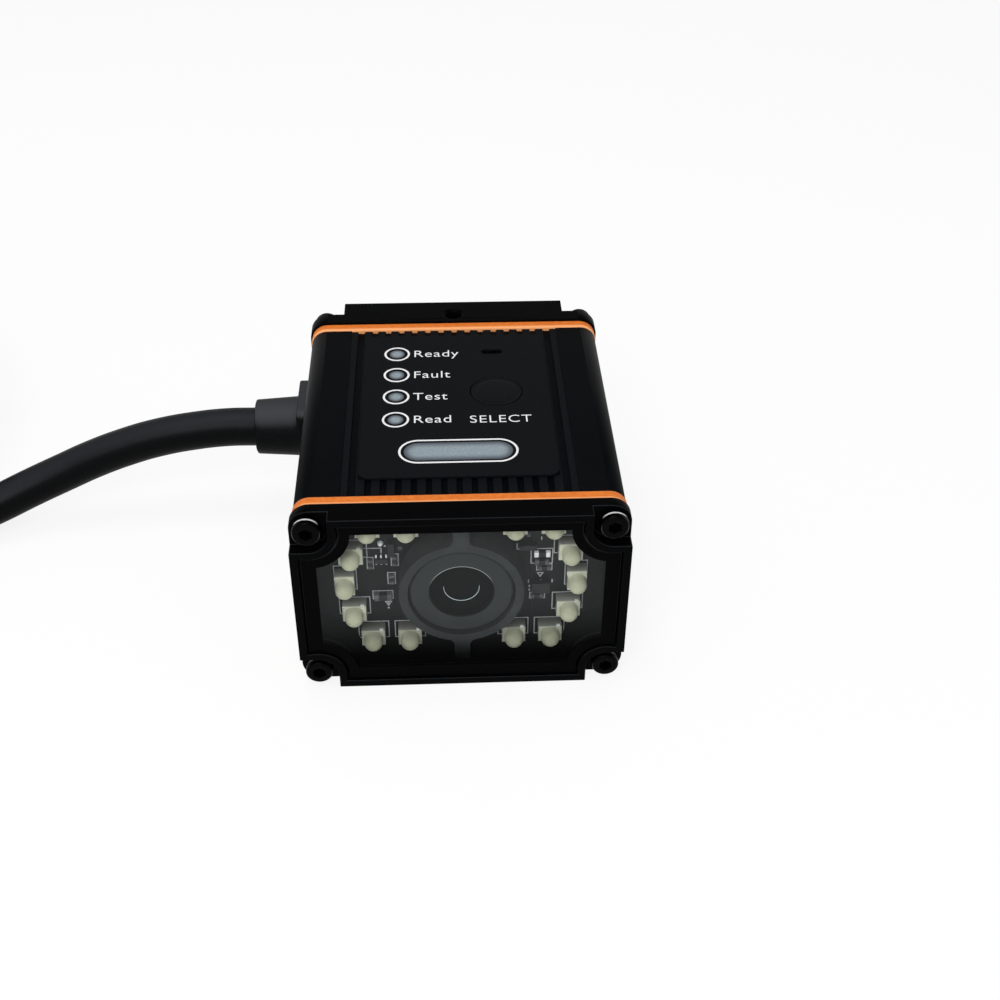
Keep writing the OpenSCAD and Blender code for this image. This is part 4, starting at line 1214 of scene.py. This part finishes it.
# %% Tie
TIE_ANGLE = math.radians(118)
TIE_WIDTH = 11 * MM
TIE_T = 0.5 * MM
TIE_BEND, TIE_CORNER = 7.5 * MM, 2.4 * MM
bundle_r = (COIL_OUTER_R - CABLE_D) * MM
bundle_half = 1.5 * CABLE_D * MM
bundle_top = 3 * CABLE_D * MM
tie = add_block("coil_tie", (-bundle_half - TIE_T, -TIE_WIDTH / 2, 0),
                (bundle_half + TIE_T, TIE_WIDTH / 2, bundle_top + TIE_T))
round_edges(tie, TIE_BEND, 6, lambda a, b: abs(a.y - b.y) > TIE_WIDTH / 2 and a.x < 0 < a.z - TINY)
round_edges(tie, TIE_CORNER, 6, lambda a, b: abs(a.y - b.y) > TIE_WIDTH / 2 and (a.x > 0 or a.z < TINY))
pick(tie, "FACE", lambda centre, normal: abs(normal.y) > 0.9)
bpy.ops.mesh.inset(thickness=TIE_T)
bpy.ops.mesh.bridge_edge_loops()
leave_edit()
tie_x = COIL_CENTRE[0] * MM + bundle_r * math.cos(TIE_ANGLE)
tie_y = COIL_CENTRE[1] * MM + bundle_r * math.sin(TIE_ANGLE)
settle(tie, place=(tie_x, tie_y, 0), turn=(0, 0, TIE_ANGLE))
tie_tape = grained_finish("tie_tape", (12, 12, 13), (34, 34, 36), 0.5, 0.75, 0.1, 0.08)
show(tie, tie_tape)
print("tie:", len(tie.data.polygons), "faces")

# %% Plug grip
GRIP_ROUND = 1.6 * MM
GRIP_GROOVES = 5
GROOVE_PITCH = 2.2 * MM
GROOVE_DEPTH = 0.35 * MM
grip_low, grip_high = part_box("plug_overmould")
grip = add_block("plug_grip", grip_low, grip_high)
round_edges(grip, GRIP_ROUND, 5)
groove_start = (grip_low.x + grip_high.x) / 2 - GRIP_GROOVES * GROOVE_PITCH / 2
for i in range(2 * GRIP_GROOVES + 1):
    pick(grip, "FACE", everything)
    bpy.ops.mesh.bisect(plane_co=(groove_start + i * GROOVE_PITCH / 2, 0, 0), plane_no=(1, 0, 0))
    leave_edit()
grooves = [groove_start + (i + 0.25) * GROOVE_PITCH for i in range(GRIP_GROOVES)]
pick(grip, "FACE", lambda centre, normal: any(abs(centre.x - x) < GROOVE_PITCH / 8 for x in grooves))
bpy.ops.transform.shrink_fatten(value=-GROOVE_DEPTH)
leave_edit()
show(grip, cable_jacket, stands_for=["plug_overmould"], crease=50)
print("grip:", len(grip.data.polygons), "faces")

cable.data.materials.append(cable_jacket)
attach(cable, "reader")
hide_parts("cable_lead", "cable_coil", "cable_tail")

# %% [markdown]
# ## Stage and light
# The reader stands on a wide floor that shows its shadow. To the camera the floor is mostly plain white, so
# the ground stays white without more light on the case. A soft box overhead lights the edges, one in front
# lights the label and the window, and a pale world fills the rest, with a dark ceiling so that black stays
# black.

# %% Floor, world and lamps
FLOOR_DROP = 0.05 * MM
FLOOR_WHITE = 0.85
FILL = 0.45
CEILING_DARK = 0.9


def seen_by(tree, *kinds):
    """1 for rays of the kinds that are named, 0 for all others."""
    seen = tree.node("ShaderNodeLightPath", out=f"Is {kinds[0]} Ray")
    for kind in kinds[1:]:
        seen = larger(seen, tree.node("ShaderNodeLightPath", out=f"Is {kind} Ray"))
    return seen


floor = settle(added(bpy.ops.mesh.primitive_plane_add, size=12, location=(0, 0, -FLOOR_DROP)), "floor")
floor_white, tree, place = new_finish("floor_white")
seen = seen_by(tree, "Camera", "Glossy", "Transmission")
matt = tree.node("ShaderNodeBsdfDiffuse", inputs={"Color": (0.9, 0.9, 0.9, 1)})
white = tree.node("ShaderNodeEmission", inputs={"Color": (1, 1, 1, 1), "Strength": 1.0})
close_finish(shader_mix(seen * FLOOR_WHITE, matt, white))
floor.data.materials.append(floor_white)

scene = bpy.context.scene
scene.view_settings.view_transform = "Standard"
world = bpy.data.worlds.new("studio")
scene.world = world
world.use_nodes = True
world.node_tree.nodes.clear()
tree = Wire(world.node_tree)
mirrored = seen_by(tree, "Glossy", "Transmission")
ceiling = rise(along(tree.node("ShaderNodeTexCoord", out="Generated"), "Z"), 0.2, 0.5)
strength = larger(seen_by(tree, "Camera"), mirrored * (1 - ceiling * CEILING_DARK))
strength = larger(strength, (1 - mirrored) * FILL)
sky = tree.node("ShaderNodeBackground", inputs={"Color": (1, 1, 1, 1), "Strength": strength})
tree.node("ShaderNodeOutputWorld", inputs={"Surface": sky})


def soft_box(name, place, aim, size, power):
    """A square lamp that faces a point, with its size in metres and its power in watts."""
    lamp = added(bpy.ops.object.light_add, type="AREA", location=place)
    lamp.name = name
    lamp.data.size = size
    lamp.data.energy = power
    lamp.rotation_euler = (Vector(aim) - Vector(place)).to_track_quat("-Z", "Y").to_euler()


soft_box("overhead", (-0.06, 0.02, 0.55), (0, 0, 0), 0.24, 0.9)
soft_box("front", (-0.15, -0.55, 0.5), (0, 0, 0.015), 0.4, 3.4)
print("stage set")
